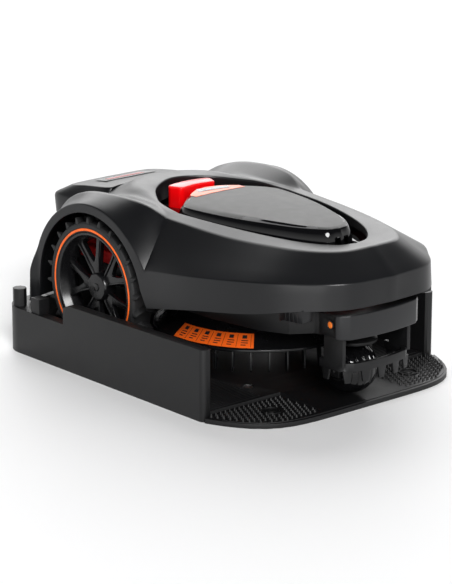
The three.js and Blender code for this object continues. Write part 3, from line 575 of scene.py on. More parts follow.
# lines along the cover from nose to rear, one half of it, each as (x, half width, height)
LOWER_EDGE = [
    (447, 0, 165), (438, 78, 165), (386, 132, 161), (325, 166, 151), (230, 183, 138), (124, SIDE, 118),
    (88, SIDE, 108), (0, SIDE, 92), (-80, SIDE, 80), (-120, SIDE, 73), (-146, SIDE, 73), (-152, 100, 78),
    (-152, 0, 80)]
CREASE = [
    (449, 0, 202), (437, 77, 202), (391, 125, 200), (336, 162, 198), (236, 185, 188), (127, SIDE, 174),
    arch_rim(52), arch_rim(88), arch_rim(128), arch_rim(160), (-143, SIDE, 112), (-154, 104, 132),
    (-156, 0, 140)]
BAND_OUTER = [
    (406, 0, 237), (399, 50, 236), (364, 84, 235), (308, 106, 235), (230, 124, 236), (112, 133, 241),
    (72, 143, 257), (10, 148, 259), (-58, 146, 252), (-110, 142, 229), (-146, 138, 176), (-160, 108, 176),
    (-160, 0, 178)]
BAND_INNER = [
    (369, 0, 233), (361, 30, 234), (326, 60, 236), (268, 83, 239), (195, 99, 242), (112, 107, 244)]
FENDER_FOOT = [
    (66, 112, 248), (4, 110, 248), (-54, 107, 240), (-98, 103, 224), (-134, 94, 208), (-157, 52, 204),
    (-158, 0, 204)]
HUMP_LOW = [
    (64.5, 106, 248), (14, 102, 247.5), (-35, 98, 241), (-68, 90, 236), (-92, 72, 234), (-106, 38, 233),
    (-110, 0, 233)]
HUMP_HIGH = [
    (63, 102, 247.7), (24, 90, 251), (-14, 80, 253.5), (-42, 66, 253.5), (-64, 46, 252.5),
    (-78, 24, 251.5), (-83, 0, 251.5)]
OPENING_REAR = [
    (62, 98, 247), (30, 81, 249), (4, 62, 251), (-12, 43, 253), (-22, 26, 254), (-27, 12, 254.6),
    (-28, 0, 255)]


def between(first, second, share):
    return [tuple(np.array(a) * (1 - share) + np.array(b) * share) for a, b in zip(first, second)]


def cover_lines():
    front = BAND_OUTER[:CORNER + 1]
    lines = [LOWER_EDGE, CREASE, BAND_OUTER]
    for share, rear in ((0.25, FENDER_FOOT), (0.5, HUMP_LOW), (0.75, HUMP_HIGH)):
        lines.append(between(front, BAND_INNER, share) + rear)
    opening = BAND_INNER + OPENING_REAR
    lines.append(opening)
    lines.append([(x, y, RECESS_FLOOR) for x, y, _ in opening])
    return [curve_through(line, COVER_STEPS, sharp_at=[CORNER]) for line in lines]


def on_arch_rim(point, place):
    """Keeps the crease on the circle round the wheel; place counts the line's points past the corner."""
    radius = RIM_RADIUS + (CORNER_RADIUS - RIM_RADIUS) * max(1 - place, 0)
    angle = math.atan2(point[2] - ARCH_Z, point[0])
    return np.array((radius * math.cos(angle), point[1], ARCH_Z + radius * math.sin(angle)))


def cover_radii(place):
    """Fillet radii of one column, from its lower edge to the floor of the recess."""
    if place <= CORNER:
        return [0, 2.5, 4, 10, 15, 15, 2.5, 0]
    crest = 4 + 12 * min(max(place - CORNER - 2, 0) / 2, 1)
    return [0, 2.5, crest, 10, 12, 8, 2.5, 0]


ARCH_FLOOR = -40
ARCH_LIP = [(144, 113), (138, 115), (133, 118.5), (129.5, 123)]
CUTTER_OUT = SIDE + 20
CUTTER_DEPTH = 80


def wheel_cutter(side):
    """The room for one wheel: an arch with a lip at its front, open at the bottom."""
    outline = [(-ARCH_RADIUS - 8, ARCH_FLOOR), (ARCH_LIP[0][0], ARCH_FLOOR), *ARCH_LIP]
    for step in range(6, 73):
        angle = math.pi * step / 72
        outline.append((ARCH_RADIUS * math.cos(angle), ARCH_Z + ARCH_RADIUS * math.sin(angle)))
    start = CUTTER_OUT if side > 0 else CUTTER_DEPTH - CUTTER_OUT
    return prism("arch_cutter", outline, CUTTER_DEPTH, SHELL, bevel=0, turn=across(start))


def notch_cutter():
    """The gap in the cover's rear edge where the charging contacts reach in."""
    outline = rectangle(-175, -130, -58, 58)
    return prism("notch_cutter", outline, 36, SHELL, bevel=0, turn=raised_to(60))


def make_cover():
    lines = cover_lines()
    columns = []
    for index in range(len(lines[0])):
        place = index / COVER_STEPS
        keys = [line[index] for line in lines]
        if CORNER <= place <= ARCH_END:
            keys[1] = on_arch_rim(keys[1], place - CORNER)
        columns.append(rounded_line(keys, cover_radii(place)))
    mesh = facing_up(mirrored_grid(columns, "cover_skin"))
    cover = object_from("cover_skin", mesh, SHELL)
    thickened(cover, COVER_WALL)
    for side in (-1, 1):
        cut_away(cover, wheel_cutter(side))
    cut_away(cover, notch_cutter())
    shade(cover.data, 24)
    placed(cover, "cover", "shell_plastic", "top_shell")


# the part behind the stop button that reaches out over the back
TAIL_LOW = [
    (-90, 0, 180), (-90, 66, 180), (-90, 95, 180), (-150, 98, 181), (-197, 95, 183), (-210, 74, 184),
    (-213, 0, 184)]
TAIL_MIDDLE = [
    (-90, 0, 210), (-90, 66, 210), (-90, 96, 210), (-150, 99, 211), (-198, 97, 212), (-212, 76, 213),
    (-215, 0, 213)]
TAIL_TOP = [
    (-88, 0, 242), (-88, 56, 241), (-88, 78, 240), (-140, 80, 234), (-178, 78, 228), (-187, 60, 227),
    (-189, 0, 227)]
TAIL_SPINE = [TAIL_TOP[k] for k in (6, 4, 3, 0)]
TAIL_CROWN = 1
TAIL_CENTRE_X = -120
TAIL_STEPS = 8
BADGE_PLATE = [(-164, -46), (-164, 46), (-132, 50), (-132, -50)]
BADGE_BAR = [(-154, -34), (-154, 34), (-143, 35), (-143, -35)]


def tail_height(x, _y=0):
    """Height of the tail's top, which is level across."""
    places = [point[0] for point in TAIL_SPINE]
    return float(np.interp(x, places, [point[2] + TAIL_CROWN for point in TAIL_SPINE]))


def make_tail():
    lines = [curve_through(line, TAIL_STEPS) for line in (TAIL_LOW, TAIL_MIDDLE, TAIL_TOP)]
    centre = np.array((TAIL_CENTRE_X, 0, tail_height(TAIL_CENTRE_X)))
    columns = []
    for low_point, middle_point, top_point in zip(*lines):
        inner = centre + (top_point - centre) * 0.4
        inner[2] = tail_height(inner[0])
        columns.append(rounded_line([low_point, middle_point, top_point, inner, centre], [0, 6, 2.5, 0, 0]))
    tail = object_from("cover_tail", facing_up(mirrored_grid(columns, "cover_tail")), SHELL)
    thickened(tail, COVER_WALL)
    shade(tail.data, 30)
    placed(tail, "cover", "shell_plastic")


def make_badge():
    plate = surface_patch("rear_badge_film", BADGE_PLATE, tail_height, 1.0, DARK_FILM)
    placed(plate, "cover", "badge_plastic", "rear_badge")
    bar = surface_patch("rear_badge_bar", BADGE_BAR, tail_height, 1.3, RED_FILM)
    placed(bar, "cover", "badge_plastic")


BRACKET_INNER = -107
BRACKET_DEPTH = 18.4
BRACKET_TOP = 160


def make_brackets():
    """Blocks under the cover's edge, with ribs on the outer face and a round boss at the rear."""
    parts = []
    for x in range(362, 394, 8):
        rib = rectangle(x, x + 2, 143, BRACKET_TOP)
        parts.append(prism("rib", rib, BRACKET_DEPTH + 0.5, SHELL, bevel=0.4, turn=across(BRACKET_INNER)))
    boss = [(0.001, 138.5), (7, 138.5), (7, BRACKET_TOP), (0.001, BRACKET_TOP)]
    parts.append(turned_piece("boss", boss, "z", (352, BRACKET_INNER - 10, 0), SHELL, 0.8, 32))
    plate = rounded_outline([(354, 141), (398, 145), (398, 164), (354, BRACKET_TOP)], 2)
    parts.append(prism("plate", plate, BRACKET_DEPTH, SHELL, bevel=0.8, turn=across(BRACKET_INNER)))
    right = joined("bracket_right", parts)
    left = twin(right, "bracket_left")
    for piece in (right, left):
        placed(piece, "cover", "shell_plastic")


# ---- lid
LID_HALF = [
    (345, 0), (338, 24), (306, 48), (262, 66), (204, 84), (150, 94), (108, 97), (88, 90), (58, 56),
    (40, 26), (34, 0)]
LID_REAR_CORNER = 7  # the point where the lid's side meets its rear edge
LID_EDGE = 246
LID_RIM = LID_EDGE + 2.5
LID_CROWN = 5.5
LID_PEAK_X = 160
LID_PEAK_LENGTH = 190
LID_PEAK_WIDTH = 98
LID_FOOT = POD_TOP + 3
LID_WALLS = [  # how far in from the outline, and how high
    (0, LID_FOOT), (1.0, LID_FOOT + 8), (3.4, LID_EDGE - 5), (6.0, LID_EDGE), (7.4, LID_EDGE + 1.6),
    (8.6, LID_EDGE + 2.2), (8.9, LID_EDGE + 2.3)]
LID_SPINE_X = 190
LID_SPINE_SHARE = 0.72
LID_TOP_STEPS = 12


def lid_height(x, y):
    """Height of the lid's top, which rises toward one place on its centre line."""
    across_share = 1 - (y / LID_PEAK_WIDTH) ** 2
    along_share = 1 - ((x - LID_PEAK_X) / LID_PEAK_LENGTH) ** 2
    return LID_RIM + LID_CROWN * max(across_share, 0) * max(along_share, 0)


def pulled_in(outline, distance):
    """An outline of (x, half width) moved inward, its ends kept on the centre plane."""
    moved = []
    for i, point in enumerate(outline):
        before = outline[max(i - 1, 0)]
        after = outline[min(i + 1, len(outline) - 1)]
        along = np.array(after[:2]) - np.array(before[:2])
        if i == 0:
            along = np.array((0.0, 1.0))
        if i == len(outline) - 1:
            along = np.array((0.0, -1.0))
        along = along / np.linalg.norm(along)
        x = point[0] - distance * along[1]
        y = max(point[1] + distance * along[0], 0)
        moved.append((x, 0 if i in (0, len(outline) - 1) else y))
    return moved


def hinge_slot(side):
    """Room in the lid's front wall for one of the ears that carry the hinge pin."""
    outline = rectangle(HINGE_X + 4.5, HINGE_X + 20, side * 3, side * 13)
    foot = LID_FOOT - 4
    return prism("hinge_slot", outline, HINGE_Z + 3 - foot, GLOSS, bevel=0, turn=raised_to(foot))


def make_lid():
    outline = curve_through([(x, y, 0) for x, y in LID_HALF], 7, sharp_at=[LID_REAR_CORNER])
    rings = [pulled_in(outline, inward) for inward, _ in LID_WALLS]
    columns = []
    for i in range(len(outline)):
        column = [(*ring[i], height) for ring, (_, height) in zip(rings, LID_WALLS)]
        edge = np.array(rings[-1][i])
        spine = np.array((LID_SPINE_X + (edge[0] - LID_SPINE_X) * LID_SPINE_SHARE, 0.0))
        for step in range(1, LID_TOP_STEPS + 1):
            x, y = edge + (spine - edge) * step / LID_TOP_STEPS
            column.append((x, y, lid_height(x, y)))
        columns.append(column)
    mesh = facing_up(mirrored_grid(columns, "lid_skin"))
    lid = object_from("lid_skin", mesh, [GLOSS, LID_TOP])
    for face in mesh.polygons:
        if face.normal.z > 0.9:
            face.material_index = 1
    thickened(lid, 2.4)
    for side in (-1, 1):
        cut_away(lid, hinge_slot(side))
    shade(lid.data, 26)
    placed(lid, "lid", "lid_plastic", "lid")


LABEL_REAR = [(44, 0, 0), (50, 24, 0), (66, 48, 0)]
LABEL_FRONT = 80
LABEL_WINDOW = [(46, -19), (58, 32), (71, 26), (62, -28)]


def make_lid_label():
    """The orange label at the lid's rear, with a dark window and pale bars in place of lettering."""
    patches = []
    rear = curve_through(LABEL_REAR, 6)
    for side in (-1, 1):
        for first, second in zip(rear, rear[1:]):
            corners = [(first[0], side * first[1]), (LABEL_FRONT, side * first[1]),
                       (LABEL_FRONT, side * second[1]), (second[0], side * second[1])]
            patches.append(surface_patch("strip", corners, lid_height, 0.5, ORANGE_FILM, steps=(8, 3)))
    placed(joined("lid_label_film", patches), "lid", "orange_label", "lid_label")
    window = surface_patch("lid_label_window", LABEL_WINDOW, lid_height, 0.8, DARK_FILM)
    placed(window, "lid", "orange_label")
    bars = []
    for share in (0.28, 0.5, 0.72):
        x = 50 + 16 * share
        corners = [(x, -14), (x + 6, 22), (x + 8, 21), (x + 2, -15)]
        bars.append(surface_patch("bar", corners, lid_height, 1.05, PALE_FILM, steps=(2, 8)))
    placed(joined("lid_label_bars", bars), "lid", "orange_label")


# ---- stop button and controls
STOP_CENTRE = 122
STOP_TOP = 254
STOP_FOOT = POD_TOP - 6
STOP_FRONT = 97
STOP_REAR = 125
STOP_HALF_ANGLE = 38 / 110
STOP_CORNER = 8


def stop_outline(front, rear, half_angle, corner):
    """A piece of a ring about the stop button's centre of curve, with round corners."""
    steps = 6
    outline = []
    places = ((front + corner, 1, 0), (rear - corner, 1, 1),
              (rear - corner, -1, 2), (front + corner, -1, 3))
    for radius, side, quarter in places:
        angle = math.pi + side * (half_angle - corner / radius)
        for step in range(steps + 1):
            turn = angle + math.pi - (quarter + step / steps) * math.pi / 2
            x = STOP_CENTRE + radius * math.cos(angle) + corner * math.cos(turn)
            outline.append((x, radius * math.sin(angle) + corner * math.sin(turn)))
        if quarter in (1, 3):
            arc = rear if quarter == 1 else front
            reach = half_angle - corner / arc
            for step in range(1, 2 * steps):
                along = math.pi + side * reach * (1 - step / steps)
                outline.append((STOP_CENTRE + arc * math.cos(along), arc * math.sin(along)))
    return outline


def make_stop_button():
    outline = stop_outline(STOP_FRONT, STOP_REAR, STOP_HALF_ANGLE, STOP_CORNER)
    button = prism("stop_button_cap", outline, STOP_TOP - STOP_FOOT, RED, bevel=2.6, segments=5,
                   turn=raised_to(STOP_FOOT), degrees=50)
    placed(button, "stop_button", "red_gloss", "stop_button")


def make_controls():
    softened("control_pod", GLOSS, "gloss_black", 1.2)
    softened("keypad_panel", BUMPER, "bumper_plastic", 0.8)
    softened("display_window", GLOSS, "gloss_black", 0.5)
    softened("key_power", RED, "red_gloss", 0.5)
    for name in ("key_start", "key_home", "key_ok"):
        softened(name, KEY_RUBBER, "key_rubber", 0.5)
    softened("height_knob", ORANGE, "orange_plastic", 0.8)
    carried("lid_hinge_pin", STEEL)


# ---- drive wheels
WHEEL_OUT = -high("tyre_left", "y")
WHEEL_IN = -low("tyre_left", "y")
WHEEL_RADIUS = (high("tyre_left", "z") - low("tyre_left", "z")) / 2
STRIPE_RADIUS = 88
SHOULDER_RADIUS = 96
TREAD_RADIUS = 99
LUGS = 24
LUG_ROOT = 97.5
LUG_LEAN = 4.5
SPOKE_ANGLES = (37, 109, 181, 253, 325)
WHEEL_CENTRE = (AXLE_X, 0, AXLE_Z)

# half of a wheel's forked arm, and its raised edge, as (radius, degrees from the arm's middle)
ARM_HALF = [(12, 40), (27, 19), (50, 21), (77, 23), (77, 15), (50, 10), (36, 0)]
ARM_EDGE = [(20, 22), (50, 20.5), (76, 22.5), (76, 20), (50, 17.5), (20, 14)]


def ring_point(radius, degrees):
    """A point (x, z) on a circle round the wheel's axle."""
    angle = math.radians(degrees)
    return (AXLE_X + radius * math.cos(angle), AXLE_Z + radius * math.sin(angle))


BLOCK_FACES = ((0, 1, 3, 2), (4, 6, 7, 5), (0, 4, 5, 1), (2, 3, 7, 6), (0, 2, 6, 4), (1, 5, 7, 3))


def tread_lugs():
    """Tapered lugs in two rows that lean against each other in a chevron."""
    points = []
    faces = []
    centre = (WHEEL_OUT + WHEEL_IN) / 2
    for lug in range(LUGS):
        middle_angle = 4 + lug * 360 / LUGS
        for near, far in ((WHEEL_OUT + 0.6, centre + 1), (WHEEL_IN - 0.6, centre - 1)):
            base = len(points)
            for y, turn in ((near, 0), (far, LUG_LEAN)):
                for radius, half in ((LUG_ROOT, 2.4), (WHEEL_RADIUS - 0.3, 0.7)):
                    for side in (-1, 1):
                        x, z = ring_point(radius, middle_angle + turn + side * half)
                        points.append((x, y, z))
            faces += [[base + corner for corner in face] for face in BLOCK_FACES]
    bm = bmesh.new()
    mesh = cleaned(mesh_from("lugs", points, faces))
    bm.from_mesh(mesh)
    bevelled(bm, 0.7, 2)
    bm.to_mesh(mesh)
    bm.free()
    return object_from("lugs", mesh, TYRE)


def make_tyre():
    """The tyre's body, with a groove for the stripe, and its lugs."""
    seat = STRIPE_RADIUS - 4
    groove = WHEEL_OUT + 1.6
    profile = [
        (seat, WHEEL_OUT + 1), (STRIPE_RADIUS - 2.4, WHEEL_OUT + 0.2), (STRIPE_RADIUS - 2, groove),
        (STRIPE_RADIUS + 2, groove), (STRIPE_RADIUS + 2.4, WHEEL_OUT + 0.2),
        (SHOULDER_RADIUS, WHEEL_OUT + 0.4), (TREAD_RADIUS, WHEEL_OUT + 3), (TREAD_RADIUS, WHEEL_IN - 3),
        (SHOULDER_RADIUS, WHEEL_IN - 0.4), (seat, WHEEL_IN - 1)]
    carcass = turned_piece("carcass", profile, "y", WHEEL_CENTRE, TYRE, radius=1.0, sides=120)
    return joined("tyre_fine_right", [carcass, tread_lugs()])


def make_stripe():
    profile = [
        (STRIPE_RADIUS - 1.9, WHEEL_OUT + 1.8), (STRIPE_RADIUS - 1.9, WHEEL_OUT + 0.9),
        (STRIPE_RADIUS, WHEEL_OUT - 0.1), (STRIPE_RADIUS + 1.9, WHEEL_OUT + 0.9),
        (STRIPE_RADIUS + 1.9, WHEEL_OUT + 1.8)]
    return turned_piece("stripe_fine_right", profile, "y", WHEEL_CENTRE, ORANGE_RUBBER, 0.9, 120)


def arm_outline(places, centre, side):
    return [ring_point(radius, centre + side * degrees) for radius, degrees in places]


def spoke(centre):
    """A forked arm: one stem at the hub that parts into two at the rim, with a raised edge on each."""
    stem = arm_outline(ARM_HALF, centre, -1) + arm_outline(ARM_HALF[-2::-1], centre, 1)
    parts = [prism("arm", rounded_outline(stem, 4, 3), 8, WHEEL_GLOSS, bevel=1.2, segments=3,
                   turn=across(WHEEL_OUT + 24))]
    for side in (-1, 1):
        edge = arm_outline(ARM_EDGE, centre, side)
        parts.append(prism("edge", edge, 5, WHEEL_GLOSS, bevel=0.8, turn=across(WHEEL_OUT + 19)))
    return parts


def make_rim():
    seat = STRIPE_RADIUS - 4.5
    ring = [
        (seat, WHEEL_OUT + 1.2), (seat, WHEEL_IN - 2), (seat - 5, WHEEL_IN - 2), (seat - 7, WHEEL_OUT + 30),
        (seat - 13, WHEEL_OUT + 25), (seat - 10, WHEEL_OUT + 14), (seat - 4, WHEEL_OUT + 2.2)]
    parts = [turned_piece("ring", ring, "y", WHEEL_CENTRE, WHEEL_GLOSS, radius=1.2, sides=96)]
    hub = [
        (0.001, WHEEL_OUT + 10), (20, WHEEL_OUT + 10), (22, WHEEL_OUT + 13), (23, WHEEL_OUT + 30),
        (0.001, WHEEL_OUT + 30)]
    parts.append(turned_piece("hub", hub, "y", WHEEL_CENTRE, WHEEL_GLOSS, radius=1.2, sides=10))
    nut = [ring_point(6.5, 60 * k) for k in range(6)]
    parts.append(prism("nut", nut, 2, WHEEL_GLOSS, bevel=0.6, turn=across(WHEEL_OUT + 10.5)))
    for centre in SPOKE_ANGLES:
        parts += spoke(centre)
    return joined("rim_fine_right", parts)


def make_motor_cover():
    """The round end of the drive motor that shows through the wheel's windows."""
    face = low("drive_motor_right", "y")
    profile = [(6, face - 6), (26, face - 6), (31, face - 3), (33, face), (6, face)]
    place = (AXLE_X + 4, 0, AXLE_Z + 22)
    right = turned_piece("motor_cover_right", profile, "y", place, MOTOR, 1.2, 48)
    for piece in (right, twin(right, "motor_cover_left")):
        placed(piece, "chassis", "motor_metal")


def make_wheels():
    makers = ((make_tyre, "tyre", "tyre_rubber"), (make_stripe, "tyre_stripe", "orange_rubber"),
              (make_rim, "wheel_rim", "gloss_black"))
    for maker, node_name, slot in makers:
        right = maker()
        left = twin(right, right.name.replace("right", "left"))
        placed(right, "wheel_right", slot, node_name + "_right")
        placed(left, "wheel_left", slot, node_name + "_left")
    for side in ("right", "left"):
        carried("axle_" + side, STEEL)
    make_motor_cover()


# ---- deck skirt
FINS = 36
FIN_BOTTOM = low("deck_skirt", "z")
DECK_RADIUS = (high("deck_skirt", "y") - low("deck_skirt", "y")) / 2
FLANGE_Z = 72
SKIRT_TOP = high("deck_skirt", "z")
SKIRT_HOLE = 92
CONE_TOP = (112, SKIRT_TOP - 3)
CONE_RIM = (DECK_RADIUS - 4, FLANGE_Z + 3)


def make_skirt():
    rim = DECK_RADIUS
    profile = [
        (SKIRT_HOLE, SKIRT_TOP), (100, SKIRT_TOP), CONE_TOP, CONE_RIM, (rim, FLANGE_Z + 2),
        (rim, FLANGE_Z - 2), (rim - 9, FLANGE_Z - 2), (108, SKIRT_TOP - 7), (SKIRT_HOLE, SKIRT_TOP - 4)]
    parts = [turned_piece("cone", profile, "z", (DECK_X, 0, 0), WHEEL_GLOSS, radius=0.9, sides=144)]
    outline = [(rim - 11, FLANGE_Z - 1), (rim - 0.6, FLANGE_Z - 1), (rim - 0.6, FIN_BOTTOM + 2),
               (rim - 2.5, FIN_BOTTOM), (rim - 6, FIN_BOTTOM)]
    for fin in range(FINS):
        angle = (fin + 0.5) * 2 * math.pi / FINS
        turn = Matrix.Translation((DECK_X, 0, 0)) @ Matrix.Rotation(angle, 4, "Z")
        parts.append(prism("fin", outline, 2.4, WHEEL_GLOSS, bevel=0.5, turn=turn @ across(1.2)))
    placed(joined("deck_skirt_fine", parts), "chassis", "station_black", "deck_skirt")


def cone_point(share, degrees, lift):
    """A point on the skirt's cone: share 0 at its top and 1 at its flange."""
    top = np.array(CONE_TOP)
    rim = np.array(CONE_RIM)
    outward = np.array((top[1] - rim[1], rim[0] - top[0]))
    outward = outward / np.linalg.norm(outward)
    radius, z = top + (rim - top) * share + outward * lift
    angle = math.radians(degrees)
    return (DECK_X + radius * math.cos(angle), radius * math.sin(angle), z)


def cone_patch(name, shares, angles, lift, look):
    """A thin film on the skirt's cone, between two shares and two angles."""
    points = []
    for share in np.linspace(*shares, 4):
        points += [cone_point(share, degrees, lift) for degrees in np.linspace(*angles, 25)]
    return film_from(name, points, 4, 25, 0.25, look)


# plain marks in place of the label's print: each one's shares, and its degrees from the icon's start
ICONS = 6
ICON_START = -93
ICON_PITCH = 8.2
ICON_MARKS = (
    ((0.53, 0.65), (1.4, 4.2)), ((0.71, 0.74), (1, 5)), ((0.79, 0.82), (1, 5)), ((0.87, 0.9), (1, 3.8)),
    ((0.5, 0.96), (6.6, 6.8)))


def make_skirt_label():
    label = cone_patch("skirt_label_film", (0.46, 0.99), (-95.3, -43.6), 0.5, ORANGE_FILM)
    placed(label, "chassis", "orange_label", "skirt_label")
    icons = []
    for k in range(ICONS):
        start = ICON_START + k * ICON_PITCH
        for shares, degrees in ICON_MARKS:
            angles = [start + turn for turn in degrees]
            icons.append(cone_patch("icon", shares, angles, 0.75, DARK_FILM))
    placed(joined("skirt_label_icons", icons), "chassis", "orange_label")


# ---- front, caster and chassis
def make_front():
    softened("bumper_bar", BUMPER, "bumper_plastic", 2.2, 4)
    softened("bumper_core", STATION_BLACK_AND_SHADE, "station_black", 1.2)
    softened("comb_guard", STATION, "bumper_plastic", 1.1)
    softened("caster_fork", STATION_BLACK_AND_SHADE, "station_black", 0.8)
    for side in ("right", "left"):
        softened("bumper_plug_" + side, ORANGE, "orange_plastic", 0.5)
    carried("caster_axle", STEEL)
    plug_x = middle("bumper_plug_right", "x")
    plug_z = middle("bumper_plug_right", "z")
    face = low("bumper_plug_right", "y")
    profile = rectangle(4.9, 6.6, face - 0.3, face + 2)
    ring = turned_piece("plug_ring_right", profile, "y", (plug_x, 0, plug_z), BUMPER, 0.4, 40)
    placed(ring, "chassis", "bumper_plastic")
    placed(twin(ring, "plug_ring_left"), "chassis", "bumper_plastic")


def make_caster_wheel():
    half = high("caster_wheel", "y")
    radius = (high("caster_wheel", "z") - low("caster_wheel", "z")) / 2
    bore = 3.2
    face = 26
    grooves = (-16, -5.5, 5.5, 16)
    profile = [(bore, -half), (face, -half)]
    for y in np.linspace(-half + 1, half - 1, 41):
        dip = 1.3 if min(abs(y - groove) for groove in grooves) < 0.8 else 0
        profile.append((radius - 8 * (y / half) ** 2 - dip, y))
    profile += [(face, half), (bore, half)]
    wheel = turned_piece("caster_wheel_fine", profile, "y", (CASTER_X, 0, CASTER_Z), GLOSS, 0.4, 72)
    placed(wheel, "caster_wheel", "gloss_black", "caster_wheel")


def make_chassis():
    # the chassis parts take the station plastic that is darkened as painted shade
    softened("chassis_tub", STATION_BLACK_AND_SHADE, "station_black", 1.0)
    softened("upper_housing", DARK_RED, "dark_red", 1.4)
    softened("float_frame", STATION_BLACK_AND_SHADE, "station_black", 0.6, 1)
    softened("battery_cover", STATION_BLACK_AND_SHADE, "station_black", 0.5, 1)
    softened("battery_pack", BATTERY, "battery_wrap", 2.0, 3)
    carried("circuit_board", BOARD)
    for side in ("right", "left"):
        softened("drive_motor_" + side, MOTOR, "motor_metal", 0.8)
        carried("charge_strip_" + side, BRASS)


def make_cutter():
    softened("blade_motor", MOTOR, "motor_metal", 0.8)
    softened("blade_disc", ORANGE, "orange_plastic", 0.6)
    for number in (1, 2, 3):
        softened("blade_" + str(number), STEEL, "steel", 0.15, 1)
        softened("blade_screw_" + str(number), STEEL, "steel", 0.3, 1)


# ---- charging station
RAIL_FRONT = high("dock_rail_right", "x")
PLATE_NOSE = high("dock_base", "x")
LOBE_TOP = 7
SPIKE_PITCH = 8.6
SPIKE_RADIUS = 2.3
RING_X = 345
RING_Y = 135
GROUND_SCREWS = ((-120, -60), (-120, 60), (250, -95), (250, 95))


def lobe_edge(y):
    """How far forward the station's plate reaches at a distance y from its middle."""
    reach = RAIL_FRONT + 3
    return reach + (PLATE_NOSE - reach) * (1 - min(abs(y) / (DOCK_HALF - 1), 1) ** 6)


def hexagon(x, y, radius, z):
    angles = [math.radians(60 * k) for k in range(6)]
    return [(x + radius * math.cos(angle), y + radius * math.sin(angle), z) for angle in angles]


def spike(points, faces, x, y, height):
    """Adds one blunt six-sided spike to the points and faces."""
    start = len(points)
    foot = LOBE_TOP - 0.4
    points += hexagon(x, y, SPIKE_RADIUS, foot)
    points += hexagon(x, y, SPIKE_RADIUS * 0.35, foot + height)
    for face in [*ring_faces(2, 6), range(6, 12), range(5, -1, -1)]:
        faces.append([start + corner for corner in face])


def make_spikes():
    """Grip spikes on both front lobes of the plate, kept clear of the screw rings."""
    points = []
    faces = []
    for side in (-1, 1):
        for row in range(12):
            for column in range(16):
                x = RAIL_FRONT + 4 + row * SPIKE_PITCH
                y = 86 + (column + (row % 2) / 2) * SPIKE_PITCH
                clear_of_ring = math.hypot(x - RING_X, y - RING_Y) > 17
                if x < lobe_edge(y) - 9 and y < DOCK_HALF - 9 and clear_of_ring:
                    height = 4.0 + 1.6 * min((y - 84) / 120, 1)
                    spike(points, faces, x, side * y, height)
    placed(built("dock_spikes", points, faces, STATION_BLACK_AND_SHADE, 30), "dock", "station_black")


def make_plate_ribs():
    """Cross ribs on the running surface, ahead of the drive wheels."""
    place = raised_to(PLATE_TOP - 0.2)
    parts = []
    for side in (-1, 1):
        for k in range(22):
            x = 180 + k * 5.4
            outline = rectangle(x, x + 1.8, side * 112, side * 206)
            parts.append(prism("rib", outline, 1.4, STATION_BLACK_AND_SHADE, turn=place, bevel=0.4))
    placed(joined("dock_plate_ribs", parts), "dock", "station_black")


def make_screw_rings():
    """A raised ring on each lobe, with a round head in its middle."""
    parts = []
    for side in (-1, 1):
        for inner, outer, top in ((12, 14.5, 9.2), (0.001, 6.5, 8.6)):
            profile = rectangle(inner, outer, LOBE_TOP - 0.6, top)
            place = (RING_X, side * RING_Y, 0)
            parts.append(turned_piece("ring", profile, "z", place, STATION_BLACK_AND_SHADE, 0.5, 40))
    placed(joined("dock_screw_rings", parts), "dock", "station_black")


def make_edge_line():
    """A raised line that follows the plate's front edge."""
    points = []
    steps = 90
    foot = LOBE_TOP - 0.4
    top = LOBE_TOP + 0.9
    section = [(-1.1, foot), (-0.7, top), (0.7, top), (1.1, foot)]
    for k in range(steps + 1):
        y = (DOCK_HALF - 14) * (2 * k / steps - 1)
        for offset, z in section:
            points.append((lobe_edge(y) - 6 + offset, y, z))
    last = steps * 4
    faces = [*ring_faces(steps + 1, 4), (0, 1, 2, 3), (last + 3, last + 2, last + 1, last)]
    placed(built("dock_edge_line", points, faces, STATION_BLACK_AND_SHADE, 40), "dock", "station_black")


def make_ground_screws():
    for number, (x, y) in enumerate(GROUND_SCREWS, 1):
        profile = [(0.001, 8.6), (7.6, 8.6), (7.6, 10.6), (6.2, 11.6), (0.001, 11.6)]
        screw = turned_piece("ground_screw_" + str(number), profile, "z", (x, y, 0), STEEL, 0.4, 32)
        placed(screw, "dock", "steel")


def make_station():
    for side in ("right", "left"):
        softened("dock_rail_" + side, STATION, "station_plastic", 2.2, 4)
        carried("dock_contact_pin_" + side, BRASS)
    softened("dock_bridge", STATION, "station_plastic", 1.6, 3)
    # the plate takes the station plastic that is darkened as painted shade from the mower above it
    softened("dock_base", STATION_BLACK_AND_SHADE, "station_black", 1.0)
    softened("dock_contact_housing", STATION_BLACK_AND_SHADE, "station_black", 1.2)
    softened("dock_power_socket", GLOSS, "gloss_black", 0.4)
    softened("dock_status_light", LAMP, "lamp_green", 0.5)
    make_spikes()
    make_plate_ribs()
    make_screw_rings()
    make_edge_line()
    make_ground_screws()


# ---- stage
FLOOR_HALF = 9000


def make_floor():
    made, tree, shader = material("floor_paper", (0.93, 0.93, 0.93), 0.6)
    tree.links.new(ramp(tree, noise(tree, 2, 2), (0.925, 0.925, 0.925), (0.935, 0.935, 0.935)),
                   shader.inputs["Base Color"])
    corners = rectangle(-FLOOR_HALF, FLOOR_HALF, -FLOOR_HALF, FLOOR_HALF)
    mesh = mesh_from("floor", [(x, y, 0) for x, y in corners], [(0, 1, 2, 3)])
    object_from("floor", mesh, made)


def link_lamp(name, lamp, turn, place=(0, 0, 0)):
    made = bpy.data.objects.new(name, lamp)
    made.location = place
    made.rotation_euler = turn.to_euler()
    bpy.context.scene.collection.objects.link(made)


def area_light(name, place, target, size, power):
    lamp = bpy.data.lights.new(name, "AREA")
    lamp.shape = "RECTANGLE"
    lamp.size, lamp.size_y = size
    lamp.energy = power
    link_lamp(name, lamp, (Vector(target) - Vector(place)).to_track_quat("-Z", "Y"), place)


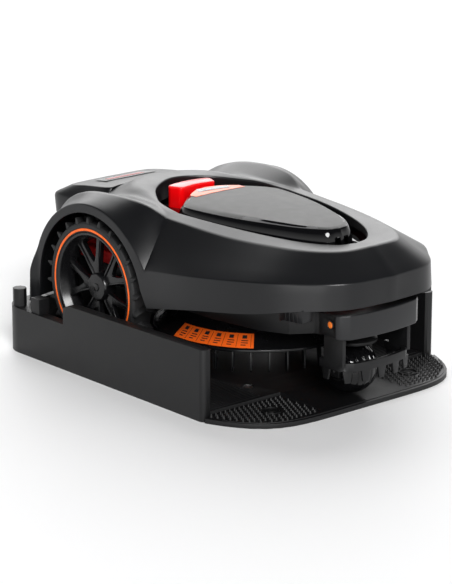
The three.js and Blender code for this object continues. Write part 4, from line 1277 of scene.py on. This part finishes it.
def soft_sun(name, direction, strength, spread_degrees):
    """A distant softbox: even light over the whole floor, with soft shadows."""
    lamp = bpy.data.lights.new(name, "SUN")
    lamp.energy = strength
    lamp.angle = math.radians(spread_degrees)
    link_lamp(name, lamp, Vector(direction).to_track_quat("Z", "Y"))


def make_lights():
    world = bpy.data.worlds.new("pale_room")
    world.use_nodes = True
    tree = world.node_tree
    background = tree.nodes["Background"]
    split = node(tree, "ShaderNodeSeparateXYZ")
    tree.links.new(node(tree, "ShaderNodeTexCoord").outputs["Generated"], split.inputs["Vector"])
    sky = ramp(tree, split.outputs["Z"], (1.0, 1.0, 1.0), (0.05, 0.05, 0.055), 0.22, 0.55)
    tree.links.new(sky, background.inputs["Color"])
    bpy.context.scene.world = world
    soft_sun("back_softbox", (-0.6, 0.55, 0.6), 1.75, 55)
    soft_sun("front_softbox", (0.9, -0.48, 0.66), 2.9, 22)
    area_light("label_fill", (1.6, -1.9, 0.22), (0.2, 0, 0.1), (0.5, 0.25), 4)


# the camera, solved from the photo: its place in metres and its angles in degrees
CAMERA_PLACE = (2.9171, -2.4417, 1.1895)
CAMERA_AZIMUTH = 49.165
CAMERA_ELEVATION = 16.245
CAMERA_LENS = 160.27
CAMERA_SHIFT = -0.0017123


def make_camera():
    camera = bpy.data.cameras.new("photo_camera")
    camera.sensor_fit = "AUTO"
    camera.sensor_width = 36
    camera.lens = CAMERA_LENS
    camera.shift_y = CAMERA_SHIFT
    camera.clip_start = 0.1
    camera.clip_end = 60
    made = bpy.data.objects.new("photo_camera", camera)
    made.location = CAMERA_PLACE
    made.rotation_euler = (math.radians(90 - CAMERA_ELEVATION), 0, math.radians(CAMERA_AZIMUTH))
    bpy.context.scene.collection.objects.link(made)
    bpy.context.scene.camera = made


make_camera()
make_cover()
make_tail()
make_badge()
make_brackets()
make_lid()
make_lid_label()
make_stop_button()
make_controls()
make_wheels()
make_skirt()
make_skirt_label()
make_front()
make_caster_wheel()
make_chassis()
make_cutter()
make_station()
make_floor()
make_lights()
bpy.context.scene.view_settings.view_transform = "Standard"
